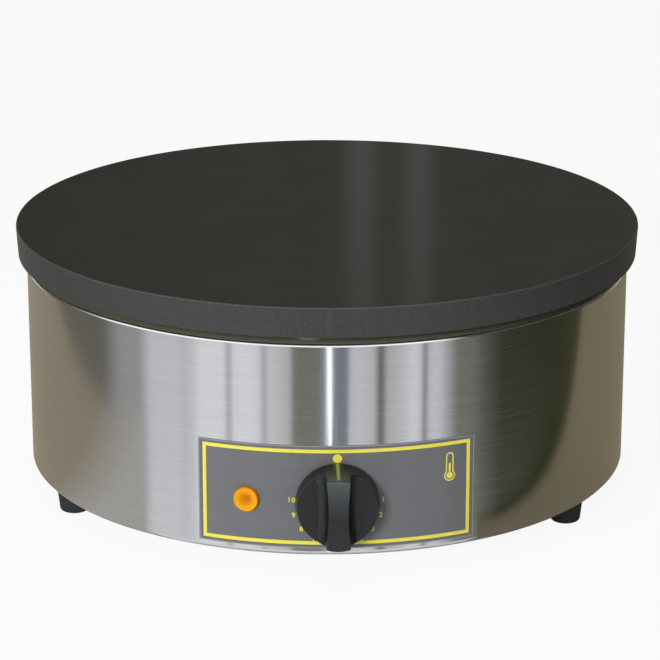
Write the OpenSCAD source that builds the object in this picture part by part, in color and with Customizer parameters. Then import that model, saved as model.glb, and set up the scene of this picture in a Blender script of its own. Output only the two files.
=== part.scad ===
// Electric crepe maker: a heavy cast-iron plate on a round steel body, heated by two
// rings of sheathed element and set by a thermostat knob. All sizes are in millimetres.
// The origin is on the counter under the centre of the plate, +Z is up, the knob faces -Y.

/* [Griddle plate] */
// Diameter of the cooking plate at its top edge
plate_d = 400; // [360:5:440]
// Height of the plate's side
plate_h = 19; // [18:0.5:24]
// Thickness of the cooking deck
deck_t = 12; // [10:0.5:13]
// Width of the rim that hangs from the deck
rim_w = 12; // [8:1:14]
// Lean of the plate's side, in degrees
plate_draft = 3.5; // [1:0.5:6]
// Radius of the plate's edges
plate_edge_r = 1.2; // [0.5:0.1:2]
// Radius of the fillet between the deck and the rim
rim_fillet_r = 4; // [2:0.5:5]

/* [Plate fixings] */
// Number of bolts that hold the plate
plate_bolt_count = 3; // [3:1:6]
// Thread diameter of the plate bolts
plate_bolt_d = 8; // [6:1:8]
// Length of thread in each plate boss
plate_thread_l = 9; // [6:0.5:10]
// Diameter of the cast bosses
boss_d = 16; // [14:0.5:17]
// Space between the bosses and the rim
boss_inset = 2.8; // [1:0.1:4]
// Thickness of the insulating spacers under the bosses
spacer_t = 2.5; // [1.5:0.5:3]
// Diameter of the insulating spacers
spacer_d = 18; // [16:0.5:20]

/* [Body] */
// Overhang of the plate beyond the body
plate_overhang = 6.5; // [4:0.5:10]
// Gap between the plate's rim and the body
plate_gap = 5.5; // [4:0.5:8]
// Height of the round body
body_h = 132; // [125:1:150]
// Thickness of the body's steel sheet
sheet_t = 1; // [0.8:0.1:1.5]
// Outer radius of the body's bends
bend_r = 2; // [1.8:0.1:4]
// Width of the flange under the plate
top_flange_w = 28.5; // [28:0.5:34]
// Width of the flange at the bottom
bottom_flange_w = 20; // [19:0.5:24]

/* [Bottom cover] */
// Thickness of the bottom cover
cover_t = 1; // [0.8:0.1:1.5]
// Rise of the cover's middle above its rim
cover_rise = 4; // [3:0.5:6]
// Width of the cover's flat rim
cover_rim_w = 26; // [25:0.5:32]
// Number of screws in the cover
cover_screw_count = 6; // [3:3:12]
// Inset of the cover screws from the body's side
cover_screw_inset = 11; // [9:0.5:13]
// Number of air slots
slot_count = 24; // [12:2:32]
// Length of an air slot
slot_l = 30; // [15:1:40]
// Width of an air slot
slot_w = 5; // [3:0.5:6]
// Distance of the middle of the slots from the centre
slot_ring_r = 75; // [65:1:85]

/* [Feet] */
// Height of the rubber feet
foot_h = 14; // [12:0.5:25]
// Diameter of a foot at its top
foot_d = 21.5; // [20:0.5:26]
// Diameter of a foot at its tip
foot_tip_d = 19; // [18:0.5:20]
// Radius of a foot's lower edge
foot_edge_r = 2.5; // [1:0.5:3]
// Inset of the feet's centres from the body's side
foot_inset = 13.8; // [13:0.1:15]
// Turn of the three feet about the centre, in degrees
foot_turn = -5.15; // [-10:0.05:10]

/* [Heating elements] */
// Diameter of the sheathed tube
tube_d = 8.5; // [6.5:0.5:9]
// Space from the tray's side to the middle of the outer turn
element_margin = 18; // [12:0.5:22]
// Distance between the two turns of an element
coil_pitch = 22; // [18:0.5:24]
// Distance between the two elements
coil_gap = 33; // [32:0.5:38]
// Radius of the bend from a turn to its leg
leg_bend_r = 8; // [7:0.5:12]
// Space between the bend and the legs of an element
coil_end_gap = 8; // [5:0.5:12]
// Length of the legs below the tray
leg_out = 9; // [6:0.5:14]
// Number of clamp bars
clamp_count = 3; // [3:1:4]
// Width of a clamp bar
clamp_w = 20; // [16:1:26]
// Thickness of a clamp bar
clamp_t = 2; // [1.5:0.5:3]
// Depth of a clamp bar's turned-down edges
clamp_lip = 5; // [3:0.5:6]
// Depth of the stud holes in the deck
stud_depth = 8; // [5:0.5:8.5]

/* [Insulation] */
// Space between the tray and the flange around it
tray_gap = 7; // [5:0.5:10]
// Thickness of the tray's sheet
tray_t = 1; // [0.8:0.1:1.5]
// Outer radius of the tray's bend
tray_bend_r = 3; // [2:0.5:6]
// Thickness of the insulation
insulation_t = 22; // [15:1:30]
// Drop from the clamp nuts to the insulation
tray_drop = 4; // [3:0.5:8]

/* [Thermostat] */
// Width of the thermostat's body
thermostat_w = 44; // [40:1:50]
// Height of the thermostat's body
thermostat_h = 36; // [30:1:40]
// Depth of the thermostat's body
thermostat_depth = 30; // [24:1:40]
// Thickness of the thermostat's mounting plate
thermostat_plate_t = 1.5; // [1:0.1:2.5]
// Thickness of the saddle between the plate and the wall
saddle_t = 4; // [3:0.5:6]
// Distance between the thermostat's two screws
thermostat_screw_pitch = 28; // [26:0.5:30]
// Diameter of the sensing bulb
bulb_d = 6; // [4:0.5:7]
// Length of the sensing bulb
bulb_l = 100; // [60:5:110]
// Diameter of the capillary
capillary_d = 2; // [1.5:0.5:2.5]
// Direction of the sensing bulb from the centre, in degrees
bulb_a = -30; // [-40:1:-20]

/* [Control label] */
// Width of the label along the wall
label_w = 170.6; // [150:0.1:190]
// Height of the label
label_h = 65; // [56:0.5:80]
// Thickness of the label
label_t = 0.4; // [0.2:0.1:0.8]
// Height of the label's lower edge above the body's
label_lift = 4; // [3:0.5:5]

/* [Knob] */
// Height of the knob's axis above the body's lower edge
dial_lift = 33.2; // [32:0.1:40]
// Diameter of the knob at its base
knob_d = 50.8; // [50:0.2:56]
// Height of the knob
knob_h = 24; // [21:0.5:30]
// Height of the knob's skirt beside the grip
knob_skirt_h = 10; // [9:0.5:12]
// Lean of the knob's side, in degrees
knob_draft = 7.5; // [3:0.5:9]
// Radius of the knob's front edge
knob_edge_r = 1; // [0.5:0.1:1.5]
// Crown of the grip's front face
knob_crown = 0.8; // [0.3:0.1:1.5]
// Width of the grip at its waist
grip_w = 12; // [11:0.5:15]
// Radius of the grip's hollow sides
grip_side_r = 170; // [120:5:250]
// Radius between the grip and the finger faces
grip_fillet_r = 7; // [4:0.5:8]
// Dish of the finger faces
finger_dish = 1; // [0:0.1:1.5]
// Wall of the knob
knob_wall = 2.2; // [1.8:0.1:2.5]
// Diameter of the knob's hub
hub_d = 12; // [11:0.5:13]
// Diameter of the spindle
spindle_d = 6; // [5:0.5:6]
// Height of the spindle's flat from its far side
spindle_flat = 4.6; // [4:0.1:4.8]
// Width of the pointer line
pointer_w = 2; // [1:0.1:3]
// Depth of the pointer line
pointer_t = 0.6; // [0.3:0.1:1]

/* [Pilot lamp] */
// Distance from the knob's axis to the lamp along the wall
pilot_arc = 54.6; // [45:0.1:62]
// Height of the lamp above the knob's axis
pilot_rise = 0.6; // [0:0.1:10]
// Diameter of the lens
lens_d = 15.5; // [15:0.1:18]
// Height of the lens's raised rim
lens_h = 2.8; // [2:0.1:4]
// Diameter of the lamp's housing
lamp_d = 12.4; // [11:0.1:13]
// Depth of the lamp's housing behind the wall
lamp_depth = 28; // [22:1:36]

/* [Cable gland] */
// Height of the gland above the body's lower edge
gland_lift = 25; // [20:1:45]
// Thread diameter of the gland
gland_d = 20; // [18:0.5:22]
// Width of the gland's hexagons across flats
gland_af = 24; // [24:0.5:26]
// Bore of the gland's seal
cable_bore_d = 9; // [7:0.5:10]
// Length of the gland's seal
seal_l = 9; // [7:0.5:9.5]
// How far the gland stands out from the body
gland_out = 25; // [23:0.5:30]

/* [Wiring] */
// Width of the terminal block
block_w = 62; // [56:1:80]
// Depth of the terminal block
block_depth = 24; // [20:1:30]
// Height of the terminal block
block_h = 18; // [16:1:26]
// Space from the terminal block to the body's wall
block_inset = 45; // [42:1:60]
// Diameter of the internal leads
lead_d = 3; // [2:0.5:3.5]
// Width of a push-on tab
tab_w = 6.3; // [4.8:0.1:6.3]
// Thickness of a push-on tab
tab_t = 0.8; // [0.5:0.1:1]
// Length of a push-on tab
tab_l = 8; // [6:0.5:9]
// Distance of the tied leads from the centre
loom_r = 146; // [140:1:148]

/* [Clearances] */
// Gap between pieces that seat on each other's curves
seat_gap = 0.1; // [0.05:0.05:0.3]
// Radial gap between a shaft and its bearing
running_gap = 0.05; // [0.02:0.01:0.1]
// Radial gap around a screw in a plain hole
screw_gap = 0.25; // [0.2:0.05:0.5]
// Gap between the knob and the label
knob_gap = 1; // [0.5:0.1:2]

/* [Hidden] */
$fa = 3;
$fs = 0.6;
wall_fn = 360; // what follows the body's wall is drawn finely
over = 1; // overshoot of a cut past the face it opens
arc_steps = 6;
lead_sides = 8;

plate_r = plate_d / 2;
drum_r = plate_r - plate_overhang;
wall_r = drum_r - sheet_t; // inside of the body's wall
top_hole_r = drum_r - top_flange_w;
bottom_hole_r = drum_r - bottom_flange_w;

// heights above the counter
cover_z = foot_h;
drum_z = cover_z + cover_t;
drum_top = drum_z + body_h;
plate_z = drum_top + plate_gap;
deck_z = plate_z + plate_h - deck_t;
cover_top = drum_z + cover_rise;
boss_z = drum_top + spacer_t;
dial_z = drum_z + dial_lift;
pilot_z = dial_z + pilot_rise;
gland_z = drum_z + gland_lift;

// plate
rim_r = plate_r - plate_h * tan(plate_draft); // bottom of the plate's side
rim_in_r = rim_r - rim_w;
bolt_ring_r = rim_in_r - boss_inset - boss_d / 2;
bolt_a = 90 + foot_turn + 60;

// screws: hexagon heads and nuts are 0.65 to 1.7 times the thread
function hex_d(d) = 1.7 * d / cos(30);
function nut_h(d) = 0.8 * d;
function pan_d(d) = 2 * d;
function pan_h(d) = 0.65 * d;
washer_t = 1;
foot_screw_d = 5;
cover_screw_d = 4;
clamp_stud_d = 6;
small_screw_d = 4;
cover_screw_l = 8;
block_screw_l = 7;

// heating
tray_r = top_hole_r - tray_gap;
coil_r = [
    tray_r - element_margin,
    tray_r - element_margin - coil_pitch,
    tray_r - element_margin - coil_pitch - coil_gap,
    tray_r - element_margin - 2 * coil_pitch - coil_gap,
];
tube_r = tube_d / 2;
coil_z = deck_z - seat_gap - tube_r;
clamp_top = coil_z - tube_r - seat_gap;
stud_ring_r = (coil_r[1] + coil_r[2]) / 2;
leg_a = 90; // the legs point to the rear
clamp_a = leg_a + 180;
clamp_in_r = coil_r[3] - tube_r - 3;
clamp_out_r = coil_r[0] + tube_r + 3;
clamp_nut_z = clamp_top - clamp_t - nut_h(clamp_stud_d);
insulation_top = clamp_nut_z - tray_drop;
tray_z = insulation_top - insulation_t - tray_t;
tray_nut_z = tray_z - washer_t - nut_h(clamp_stud_d);
stud_end_z = tray_nut_z - 1.5;
straight_l = 2; // straight tube between a turn and a bend
leg_side = straight_l + leg_bend_r; // from the end of a turn to the middle of its leg
leg_z = tray_z - leg_out;
bead_h = 6;
bead_d = tube_d + 1;
pin_d = 2.5;
pin_l = 5;
tab_z = leg_z - bead_h - pin_l; // top of a leg's tab

// sensing bulb, in the space between the elements
bulb_r = stud_ring_r - bulb_l * bulb_l / 16 / stud_ring_r;
bulb_z = deck_z - seat_gap - bulb_d / 2;
clip_t = 1;
clip_w = 12;
clip_flange_l = 11;

// thermostat, measured from the centre of the body outwards
saddle_r = wall_r - saddle_t; // flat inner face of the saddle
body_front_r = saddle_r - thermostat_plate_t;
body_back_r = body_front_r - thermostat_depth;
collar_r = spindle_d / 2 + 2;
thermostat_screw_x = thermostat_screw_pitch / 2;
screw_seat_r = sqrt(pow(drum_r, 2) - pow(thermostat_screw_x - pan_d(small_screw_d) / 2, 2));
tab_x = 12;
tab_dz = 9;

// knob, measured outwards from the centre of the body
label_r = drum_r + seat_gap + label_t;
knob_r = label_r + knob_gap; // plane of the knob's base
hub_set = 2; // the hub starts behind the knob's base
spindle_in = 8; // spindle inside the thermostat
spindle_r = knob_r + 18;
spring_t = 0.4;
spring_gap = 0.05;
spring_l = 10;

// lamp and gland
pilot_a = -pilot_arc / drum_r * 180 / PI;
lamp_hole_d = lamp_d + 2 * screw_gap;
gland_hole_d = gland_d + 2 * screw_gap;
washer_out = 1.5;
gland_flange_t = 5;
gland_neck = gland_out - 11; // end of the threaded neck
locknut_t = 4;
gland_bore_d = cable_bore_d + 2;

// wiring
block_y = wall_r - block_inset - block_depth / 2;
block_screw_x = block_w / 2 - 5;
way_pitch = 12;
way_z = cover_top + block_h * 0.6;
insert_l = block_depth - 4;
earth_a = 30;
earth_r = 118;
lug_a = 155; // direction of the earth lug's barrel
lug_t = 1;
lug_barrel_d = 4;
lug_barrel_l = 6;
lug_reach = 5.5; // from the screw's axis to the barrel
lead_z = cover_top + lead_d / 2 + 0.5;
lead_step = lead_d + 2;

// ---- points and curves ----

// Points of an arc about c, from angle a0 to a1
function arc(c, r, a0, a1, n = arc_steps) =
    [for (i = [0:n]) let (a = a0 + (a1 - a0) * i / n) c + r * [cos(a), sin(a)]];

// A point at distance r and angle a from the centre, at height z
function polar(r, a, z) = [r * cos(a), r * sin(a), z];

function unit(v) = v / norm(v);

// Cuts the corners of an open path, keeping its ends and the directions there
function cut_corners(p) = [
    p[0],
    for (i = [0:len(p) - 2]) each [0.75 * p[i] + 0.25 * p[i + 1], 0.25 * p[i] + 0.75 * p[i + 1]],
    p[len(p) - 1],
];
function smooth(p, n = 2) = n == 0 ? p : smooth(cut_corners(p), n - 1);

function tangent(p, i) = unit(p[min(i + 1, len(p) - 1)] - p[max(i - 1, 0)]);
function across(n, t) = unit(n - (n * t) * t);
function first_normal(t) = unit(cross(t, abs(t.z) > 0.9 ? [1, 0, 0] : [0, 0, 1]));

// One normal for each point of a path, each turned as little as possible from the one before
function normals(p) = [
    for (i = 0, n = first_normal(tangent(p, 0)); i < len(p);
         i = i + 1, n = i < len(p) ? across(n, tangent(p, i)) : n) n
];

// ---- shared shapes ----

// A wire of diameter d along the points of p
module wire(p, d) {
    n = normals(p);
    last = len(p) - 1;
    s = lead_sides;
    polyhedron(
        points = [
            for (i = [0:last]) let (b = cross(tangent(p, i), n[i]))
                for (k = [0:s - 1]) p[i] + d / 2 * (cos(360 * k / s) * n[i] + sin(360 * k / s) * b)
        ],
        faces = [
            [for (k = [0:s - 1]) k],
            for (i = [0:last - 1]) for (k = [0:s - 1]) let (m = (k + 1) % s)
                each [
                    [i * s + k, (i + 1) * s + k, (i + 1) * s + m],
                    [i * s + k, (i + 1) * s + m, i * s + m],
                ],
            [for (k = [s - 1:-1:0]) last * s + k],
        ]);
}

// Children n times around the centre, at distance r, from angle a
module around(n, r, a = 0) {
    for (i = [0:n - 1]) rotate(a + 360 * i / n) translate([r, 0, 0]) children();
}

// Children on the body's wall, at angle a from the front and height z: their +Z points
// outwards and is counted from the centre of the body, and their +Y points up
module at_wall(a, z) {
    rotate(a) translate([0, 0, z]) rotate([90, 0, 0]) children();
}

module ring(d, hole_d, h) {
    difference() {
        cylinder(d = d, h = h);
        translate([0, 0, -over]) cylinder(d = hole_d, h = h + 2 * over);
    }
}

// A hexagonal bar, d across its corners
module hex(d, h) {
    cylinder(d = d, h = h, $fn = 6);
}

module nut(d) {
    difference() {
        hex(hex_d(d), nut_h(d));
        translate([0, 0, -over]) cylinder(d = d + 2 * seat_gap, h = nut_h(d) + 2 * over);
    }
}

// A hexagon-head bolt with its head below z = 0 and its shank above
module hex_bolt(d, l) {
    translate([0, 0, -pan_h(d)]) hex(hex_d(d), pan_h(d));
    cylinder(d = d, h = l);
}

// A round-head screw with its head below z = 0 and its shank above
module pan_screw(d, l) {
    edge = pan_h(d) / 2;
    rotate_extrude()
        polygon(concat(
            [[0, -pan_h(d)]],
            arc([pan_d(d) / 2 - edge, edge - pan_h(d)], edge, -90, 0),
            [[pan_d(d) / 2, 0], [d / 2, 0], [d / 2, l], [0, l]]));
}

// A push-on tab that stands up from z = 0
module tab() {
    translate([-tab_w / 2, -tab_t / 2, 0]) cube([tab_w, tab_t, tab_l]);
}

// ---- plate ----

module plate_profile() {
    lean = tan(plate_draft);
    e = plate_edge_r;
    f = rim_fillet_r;
    under = plate_h - deck_t;
    side_x = e / cos(plate_draft); // from the side to the centre of its edge arcs
    polygon(concat(
        [[0, under], [0, plate_h]],
        arc([plate_r - e * lean - side_x, plate_h - e], e, 90, -plate_draft),
        arc([rim_r + e * lean - side_x, e], e, -plate_draft, -90),
        [[rim_in_r, 0]],
        arc([rim_in_r - f, under - f], f, 0, 90)));
}

module griddle_plate() {
    web_l = rim_in_r + over - bolt_ring_r;
    color("dimgray") difference() {
        union() {
            translate([0, 0, plate_z]) rotate_extrude() plate_profile();
            translate([0, 0, boss_z]) around(plate_bolt_count, bolt_ring_r, bolt_a) {
                cylinder(d = boss_d, h = deck_z - boss_z + over);
                translate([0, -boss_d / 4, plate_z - boss_z + over])
                    cube([web_l, boss_d / 2, deck_z - plate_z]);
            }
        }
        translate([0, 0, boss_z - over]) around(plate_bolt_count, bolt_ring_r, bolt_a)
            cylinder(d = plate_bolt_d + 2 * seat_gap, h = plate_thread_l + 2 * over);
        translate([0, 0, deck_z - over]) around(clamp_count, stud_ring_r, clamp_a)
            cylinder(d = clamp_stud_d + 2 * seat_gap, h = stud_depth + over);
        at_clip_screw() translate([0, 0, deck_z - over])
            cylinder(d = small_screw_d + 2 * seat_gap, h = stud_depth + over);
    }
}

module plate_spacers() {
    color("linen") translate([0, 0, drum_top]) around(plate_bolt_count, bolt_ring_r, bolt_a)
        ring(spacer_d, plate_bolt_d + 2 * screw_gap, spacer_t);
}

module plate_washers() {
    color("silver") translate([0, 0, drum_top - sheet_t - washer_t])
        around(plate_bolt_count, bolt_ring_r, bolt_a)
            ring(pan_d(plate_bolt_d), plate_bolt_d + 2 * screw_gap, washer_t);
}

module plate_bolts() {
    seat_z = drum_top - sheet_t - washer_t;
    color("silver") translate([0, 0, seat_z]) around(plate_bolt_count, bolt_ring_r, bolt_a)
        hex_bolt(plate_bolt_d, boss_z - seat_z + plate_thread_l);
}

// ---- body ----

// Half-section of the sheet: a wall with both ends bent inwards as flanges
module drum_profile() {
    o = bend_r;
    i = bend_r - sheet_t;
    c = drum_r - bend_r;
    polygon(concat(
        [[bottom_hole_r, 0]],
        arc([c, o], o, -90, 0),
        arc([c, body_h - o], o, 0, 90),
        [[top_hole_r, body_h], [top_hole_r, body_h - sheet_t]],
        arc([c, body_h - o], i, 90, 0),
        arc([c, o], i, 0, -90),
        [[bottom_hole_r, sheet_t]]));
}

module drum_shell() {
    color("gainsboro") difference() {
        translate([0, 0, drum_z]) rotate_extrude() drum_profile();
        translate([0, 0, drum_top - sheet_t - over]) around(plate_bolt_count, bolt_ring_r, bolt_a)
            cylinder(d = plate_bolt_d + 2 * screw_gap, h = sheet_t + 2 * over);
        at_foot_holes() cylinder(d = foot_screw_d + 2 * screw_gap, h = drum_top / 4);
        at_cover_screws() cylinder(d = cover_screw_d + 2 * seat_gap, h = drum_top / 4);
        at_wall(0, dial_z) translate([0, 0, wall_r / 2])
            cylinder(r = collar_r + screw_gap, h = plate_r);
        at_thermostat_screws() translate([0, 0, wall_r / 2])
            cylinder(d = small_screw_d + 2 * screw_gap, h = plate_r);
        at_wall(pilot_a, pilot_z) translate([0, 0, wall_r / 2])
            cylinder(d = lamp_hole_d, h = plate_r);
        at_wall(180, gland_z) translate([0, 0, wall_r / 2])
            cylinder(d = gland_hole_d, h = plate_r);
    }
}

module cover_profile() {
    r = drum_r - bend_r;
    flat = r - cover_rim_w + bend_r;
    polygon([
        [0, cover_rise], [flat - cover_rise, cover_rise], [flat, 0], [r, 0],
        [r, cover_t], [flat + cover_t / 2, cover_t],
        [flat - cover_rise + cover_t / 2, cover_rise + cover_t], [0, cover_rise + cover_t],
    ]);
}

module bottom_cover() {
    color("gray") difference() {
        translate([0, 0, cover_z]) rotate_extrude() cover_profile();
        translate([0, 0, cover_z]) {
            around(slot_count, slot_ring_r) slot();
            around(slot_count / 2, slot_ring_r - slot_l - slot_w) rotate(90) slot(slot_l / 2);
        }
        at_foot_holes() cylinder(d = foot_screw_d + 2 * screw_gap, h = drum_z);
        at_cover_screws() cylinder(d = cover_screw_d + 2 * screw_gap, h = drum_z);
        at_block_screws() cylinder(d = small_screw_d + 2 * screw_gap, h = cover_top + over);
        translate(polar(earth_r, earth_a, 0))
            cylinder(d = small_screw_d + 2 * screw_gap, h = cover_top + over);
    }
}

// A round-ended slot along X, cut through the cover
module slot(l = slot_l) {
    h = cover_rise + cover_t + 2 * over;
    straight = l - slot_w;
    translate([0, 0, -over]) {
        translate([-straight / 2, -slot_w / 2, 0]) cube([straight, slot_w, h]);
        for (s = [-1, 1]) translate([s * straight / 2, 0, 0]) cylinder(d = slot_w, h = h);
    }
}

module at_cover_screws() {
    around(cover_screw_count, drum_r - cover_screw_inset, 90 + foot_turn + 30) children();
}

module cover_screws() {
    color("silver") translate([0, 0, cover_z]) at_cover_screws() 
        pan_screw(cover_screw_d, cover_screw_l);
}

// ---- feet ----

module at_foot(i) {
    rotate(90 + foot_turn + 120 * i) translate([drum_r - foot_inset, 0, 0]) children();
}

module at_foot_holes() {
    for (i = [0:2]) at_foot(i) children();
}

module foot() {
    seat = foot_h - 6; // top of the screw's pocket
    e = foot_edge_r;
    slope = (foot_d - foot_tip_d) / 2 / foot_h;
    color("#26282a") difference() {
        rotate_extrude()
            polygon(concat(
                [[0, 0]],
                arc([foot_tip_d / 2 + slope * e - e, e], e, -90, 0),
                [[foot_d / 2, foot_h], [0, foot_h]]));
        translate([0, 0, -over]) cylinder(d = pan_d(foot_screw_d) + 1, h = seat + over);
        cylinder(d = foot_screw_d + 2 * screw_gap, h = foot_h + over);
    }
}

module foot_rear() { at_foot(0) foot(); }
module foot_front_left() { at_foot(1) foot(); }
module foot_front_right() { at_foot(2) foot(); }

foot_washer_z = drum_z + sheet_t;
foot_nut_z = foot_washer_z + washer_t;

module foot_screws() {
    seat = foot_h - 6;
    color("silver") translate([0, 0, seat]) at_foot_holes()
        pan_screw(foot_screw_d, foot_nut_z + nut_h(foot_screw_d) + 1.5 - seat);
}

module foot_washers() {
    color("silver") translate([0, 0, foot_washer_z]) at_foot_holes()
        ring(pan_d(foot_screw_d), foot_screw_d + 2 * screw_gap, washer_t);
}

module foot_nuts() {
    color("silver") translate([0, 0, foot_nut_z]) at_foot_holes() nut(foot_screw_d);
}

// ---- heating elements ----

// Half the angle left open between the ends of an element whose turns are at ro and ri, as
// the tube bender is set to a whole degree
function coil_open(ro, ri) =
    round(((ro - ri) / 2 + 2 * straight_l + leg_bend_r + tube_d + coil_end_gap)
        / (ro + ri) * 180 / PI);

// Children at the two legs of the element whose turns are at ro and ri
module at_legs(ro, ri) {
    for (r = [ro, ri])
        rotate(leg_a + coil_open(ro, ri)) translate([r, -leg_side, 0]) children();
}

module at_all_legs() {
    at_legs(coil_r[0], coil_r[1]) children();
    at_legs(coil_r[2], coil_r[3]) children();
}

// The middle of the end of leg number i of an element, at height z
function leg_end(ro, ri, i, z) =
    let (a = leg_a + coil_open(ro, ri), r = i == 0 ? ro : ri)
    [r * cos(a) + leg_side * sin(a), r * sin(a) - leg_side * cos(a), z];

// Two turns of tube, open at the rear between the hairpin bend and the legs
module element_turns(ro, ri) {
    open = coil_open(ro, ri);
    difference() {
        for (r = [ro, ri]) rotate(leg_a) rotate_extrude() translate([r, 0]) circle(d = tube_d);
        translate([0, 0, -tube_d]) intersection() {
            rotate(leg_a - open) cube([plate_r, plate_r, 2 * tube_d]);
            rotate(leg_a + open) translate([0, -plate_r, 0])
                cube([plate_r, plate_r, 2 * tube_d]);
        }
    }
}

// Straight tube along +Y
module straight_tube() {
    rotate([-90, 0, 0]) cylinder(d = tube_d, h = straight_l);
}

// A hairpin of tube bent round the centre: two turns, a bend at one end, legs at the other
module heating_element(ro, ri) {
    open = coil_open(ro, ri);
    half = (ro - ri) / 2;
    leg_l = coil_z - leg_bend_r - leg_z;
    color("#5b5148") translate([0, 0, coil_z]) {
        element_turns(ro, ri);
        rotate(leg_a - open) translate([(ro + ri) / 2, 0, 0]) {
            for (s = [-1, 1]) translate([s * half, 0, 0]) straight_tube();
            translate([0, straight_l, 0]) rotate_extrude(angle = 180)
                translate([half, 0]) circle(d = tube_d);
        }
        for (r = [ro, ri]) rotate(leg_a + open) translate([r, -straight_l, 0]) {
            straight_tube();
            translate([0, 0, -leg_bend_r]) {
                rotate([0, -90, 180]) rotate_extrude(angle = 90)
                    translate([leg_bend_r, 0]) circle(d = tube_d);
                translate([0, -leg_bend_r, -leg_l]) cylinder(d = tube_d, h = leg_l);
            }
        }
    }
}

module heating_element_outer() { heating_element(coil_r[0], coil_r[1]); }
module heating_element_inner() { heating_element(coil_r[2], coil_r[3]); }

module element_beads() {
    color("ivory") at_all_legs() translate([0, 0, leg_z - bead_h])
        ring(bead_d, pin_d + 2 * seat_gap, bead_h);
}

module element_terminals() {
    color("silver") at_all_legs() {
        translate([0, 0, tab_z]) cylinder(d = pin_d, h = leg_z - tab_z);
        translate([0, 0, tab_z - tab_l]) tab();
    }
}

module clamp_bars() {
    l = clamp_out_r - clamp_in_r;
    color("silver") around(clamp_count, clamp_in_r, clamp_a)
        translate([0, -clamp_w / 2, clamp_top - clamp_t]) difference() {
            translate([0, 0, -clamp_lip]) cube([l, clamp_w, clamp_lip + clamp_t]);
            translate([-over, clamp_t, -clamp_lip - over])
                cube([l + 2 * over, clamp_w - 2 * clamp_t, clamp_lip + over]);
            translate([stud_ring_r - clamp_in_r, clamp_w / 2, -over])
                cylinder(d = clamp_stud_d + 2 * screw_gap, h = clamp_t + 2 * over);
        }
}

module clamp_studs() {
    color("silver") translate([0, 0, stud_end_z]) around(clamp_count, stud_ring_r, clamp_a)
        cylinder(d = clamp_stud_d, h = deck_z + stud_depth - 0.5 - stud_end_z);
}

module clamp_nuts() {
    color("silver") translate([0, 0, clamp_nut_z]) around(clamp_count, stud_ring_r, clamp_a)
        nut(clamp_stud_d);
}

// ---- insulation ----

module tray_spacers() {
    color("silver") translate([0, 0, tray_z + tray_t]) around(clamp_count, stud_ring_r, clamp_a)
        ring(clamp_stud_d + 4, clamp_stud_d + 2 * screw_gap, clamp_nut_z - tray_z - tray_t);
}

module insulation_disc() {
    r = tray_r - tray_t - 0.5;
    e = tray_bend_r;
    color("khaki") difference() {
        translate([0, 0, tray_z + tray_t]) rotate_extrude()
            polygon(concat(
                [[0, 0]], arc([r - e, e], e, -90, 0), [[r, insulation_t], [0, insulation_t]]));
        translate([0, 0, tray_z]) {
            around(clamp_count, stud_ring_r, clamp_a)
                cylinder(d = clamp_stud_d + 4 + 2 * screw_gap, h = insulation_t + 2 * over);
            at_all_legs() cylinder(d = tube_d + 3, h = insulation_t + tray_t + over);
        }
    }
}

module insulation_tray() {
    h = tray_t + insulation_t;
    o = tray_bend_r;
    i = o - tray_t;
    color("lightgray") translate([0, 0, tray_z]) difference() {
        rotate_extrude()
            polygon(concat(
                [[0, 0]], arc([tray_r - o, o], o, -90, 0),
                [[tray_r, h], [tray_r - tray_t, h]], arc([tray_r - o, o], i, 0, -90),
                [[0, tray_t]]));
        translate([0, 0, -over]) {
            around(clamp_count, stud_ring_r, clamp_a)
                cylinder(d = clamp_stud_d + 2 * screw_gap, h = tray_t + 2 * over);
            at_all_legs() cylinder(d = tube_d + 3, h = tray_t + 2 * over);
        }
    }
}

module tray_washers() {
    color("silver") translate([0, 0, tray_z - washer_t])
        around(clamp_count, stud_ring_r, clamp_a)
            ring(pan_d(clamp_stud_d), clamp_stud_d + 2 * screw_gap, washer_t);
}

module tray_nuts() {
    color("silver") translate([0, 0, tray_nut_z]) around(clamp_count, stud_ring_r, clamp_a)
        nut(clamp_stud_d);
}

// ---- thermostat ----

module at_thermostat_screws() {
    for (s = [-1, 1])
        at_wall(0, dial_z) translate([s * thermostat_screw_x, 0, 0]) children();
}

// Block that follows the wall outside and is flat inside, so that the plate seats on it
module thermostat_saddle() {
    color("silver") difference() {
        intersection() {
            at_wall(0, dial_z) translate([-thermostat_w / 2, -thermostat_h / 4, saddle_r])
                cube([thermostat_w, thermostat_h / 2, drum_r - saddle_r]);
            cylinder(r = wall_r - seat_gap, h = drum_top, $fn = wall_fn);
        }
        at_wall(0, dial_z) translate([0, 0, saddle_r - over])
            cylinder(r = collar_r + screw_gap, h = saddle_t + 2 * over);
        at_thermostat_screws() translate([0, 0, saddle_r - over])
            cylinder(d = small_screw_d + 2 * screw_gap, h = saddle_t + 2 * over);
    }
}

// Steel plate with the collar in which the spindle turns
module thermostat_plate() {
    color("silver") difference() {
        at_wall(0, dial_z) {
            translate([-thermostat_w / 2 - 2, -thermostat_h / 2, body_front_r])
                cube([thermostat_w + 4, thermostat_h, thermostat_plate_t]);
            translate([0, 0, body_front_r]) cylinder(r = collar_r, h = drum_r - body_front_r);
        }
        at_wall(0, dial_z) translate([0, 0, body_front_r - over])
            cylinder(r = spindle_d / 2 + running_gap, h = drum_r);
        at_thermostat_screws() translate([0, 0, body_front_r - over])
            cylinder(d = small_screw_d + 2 * seat_gap, h = thermostat_plate_t + 2 * over);
    }
}

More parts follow.
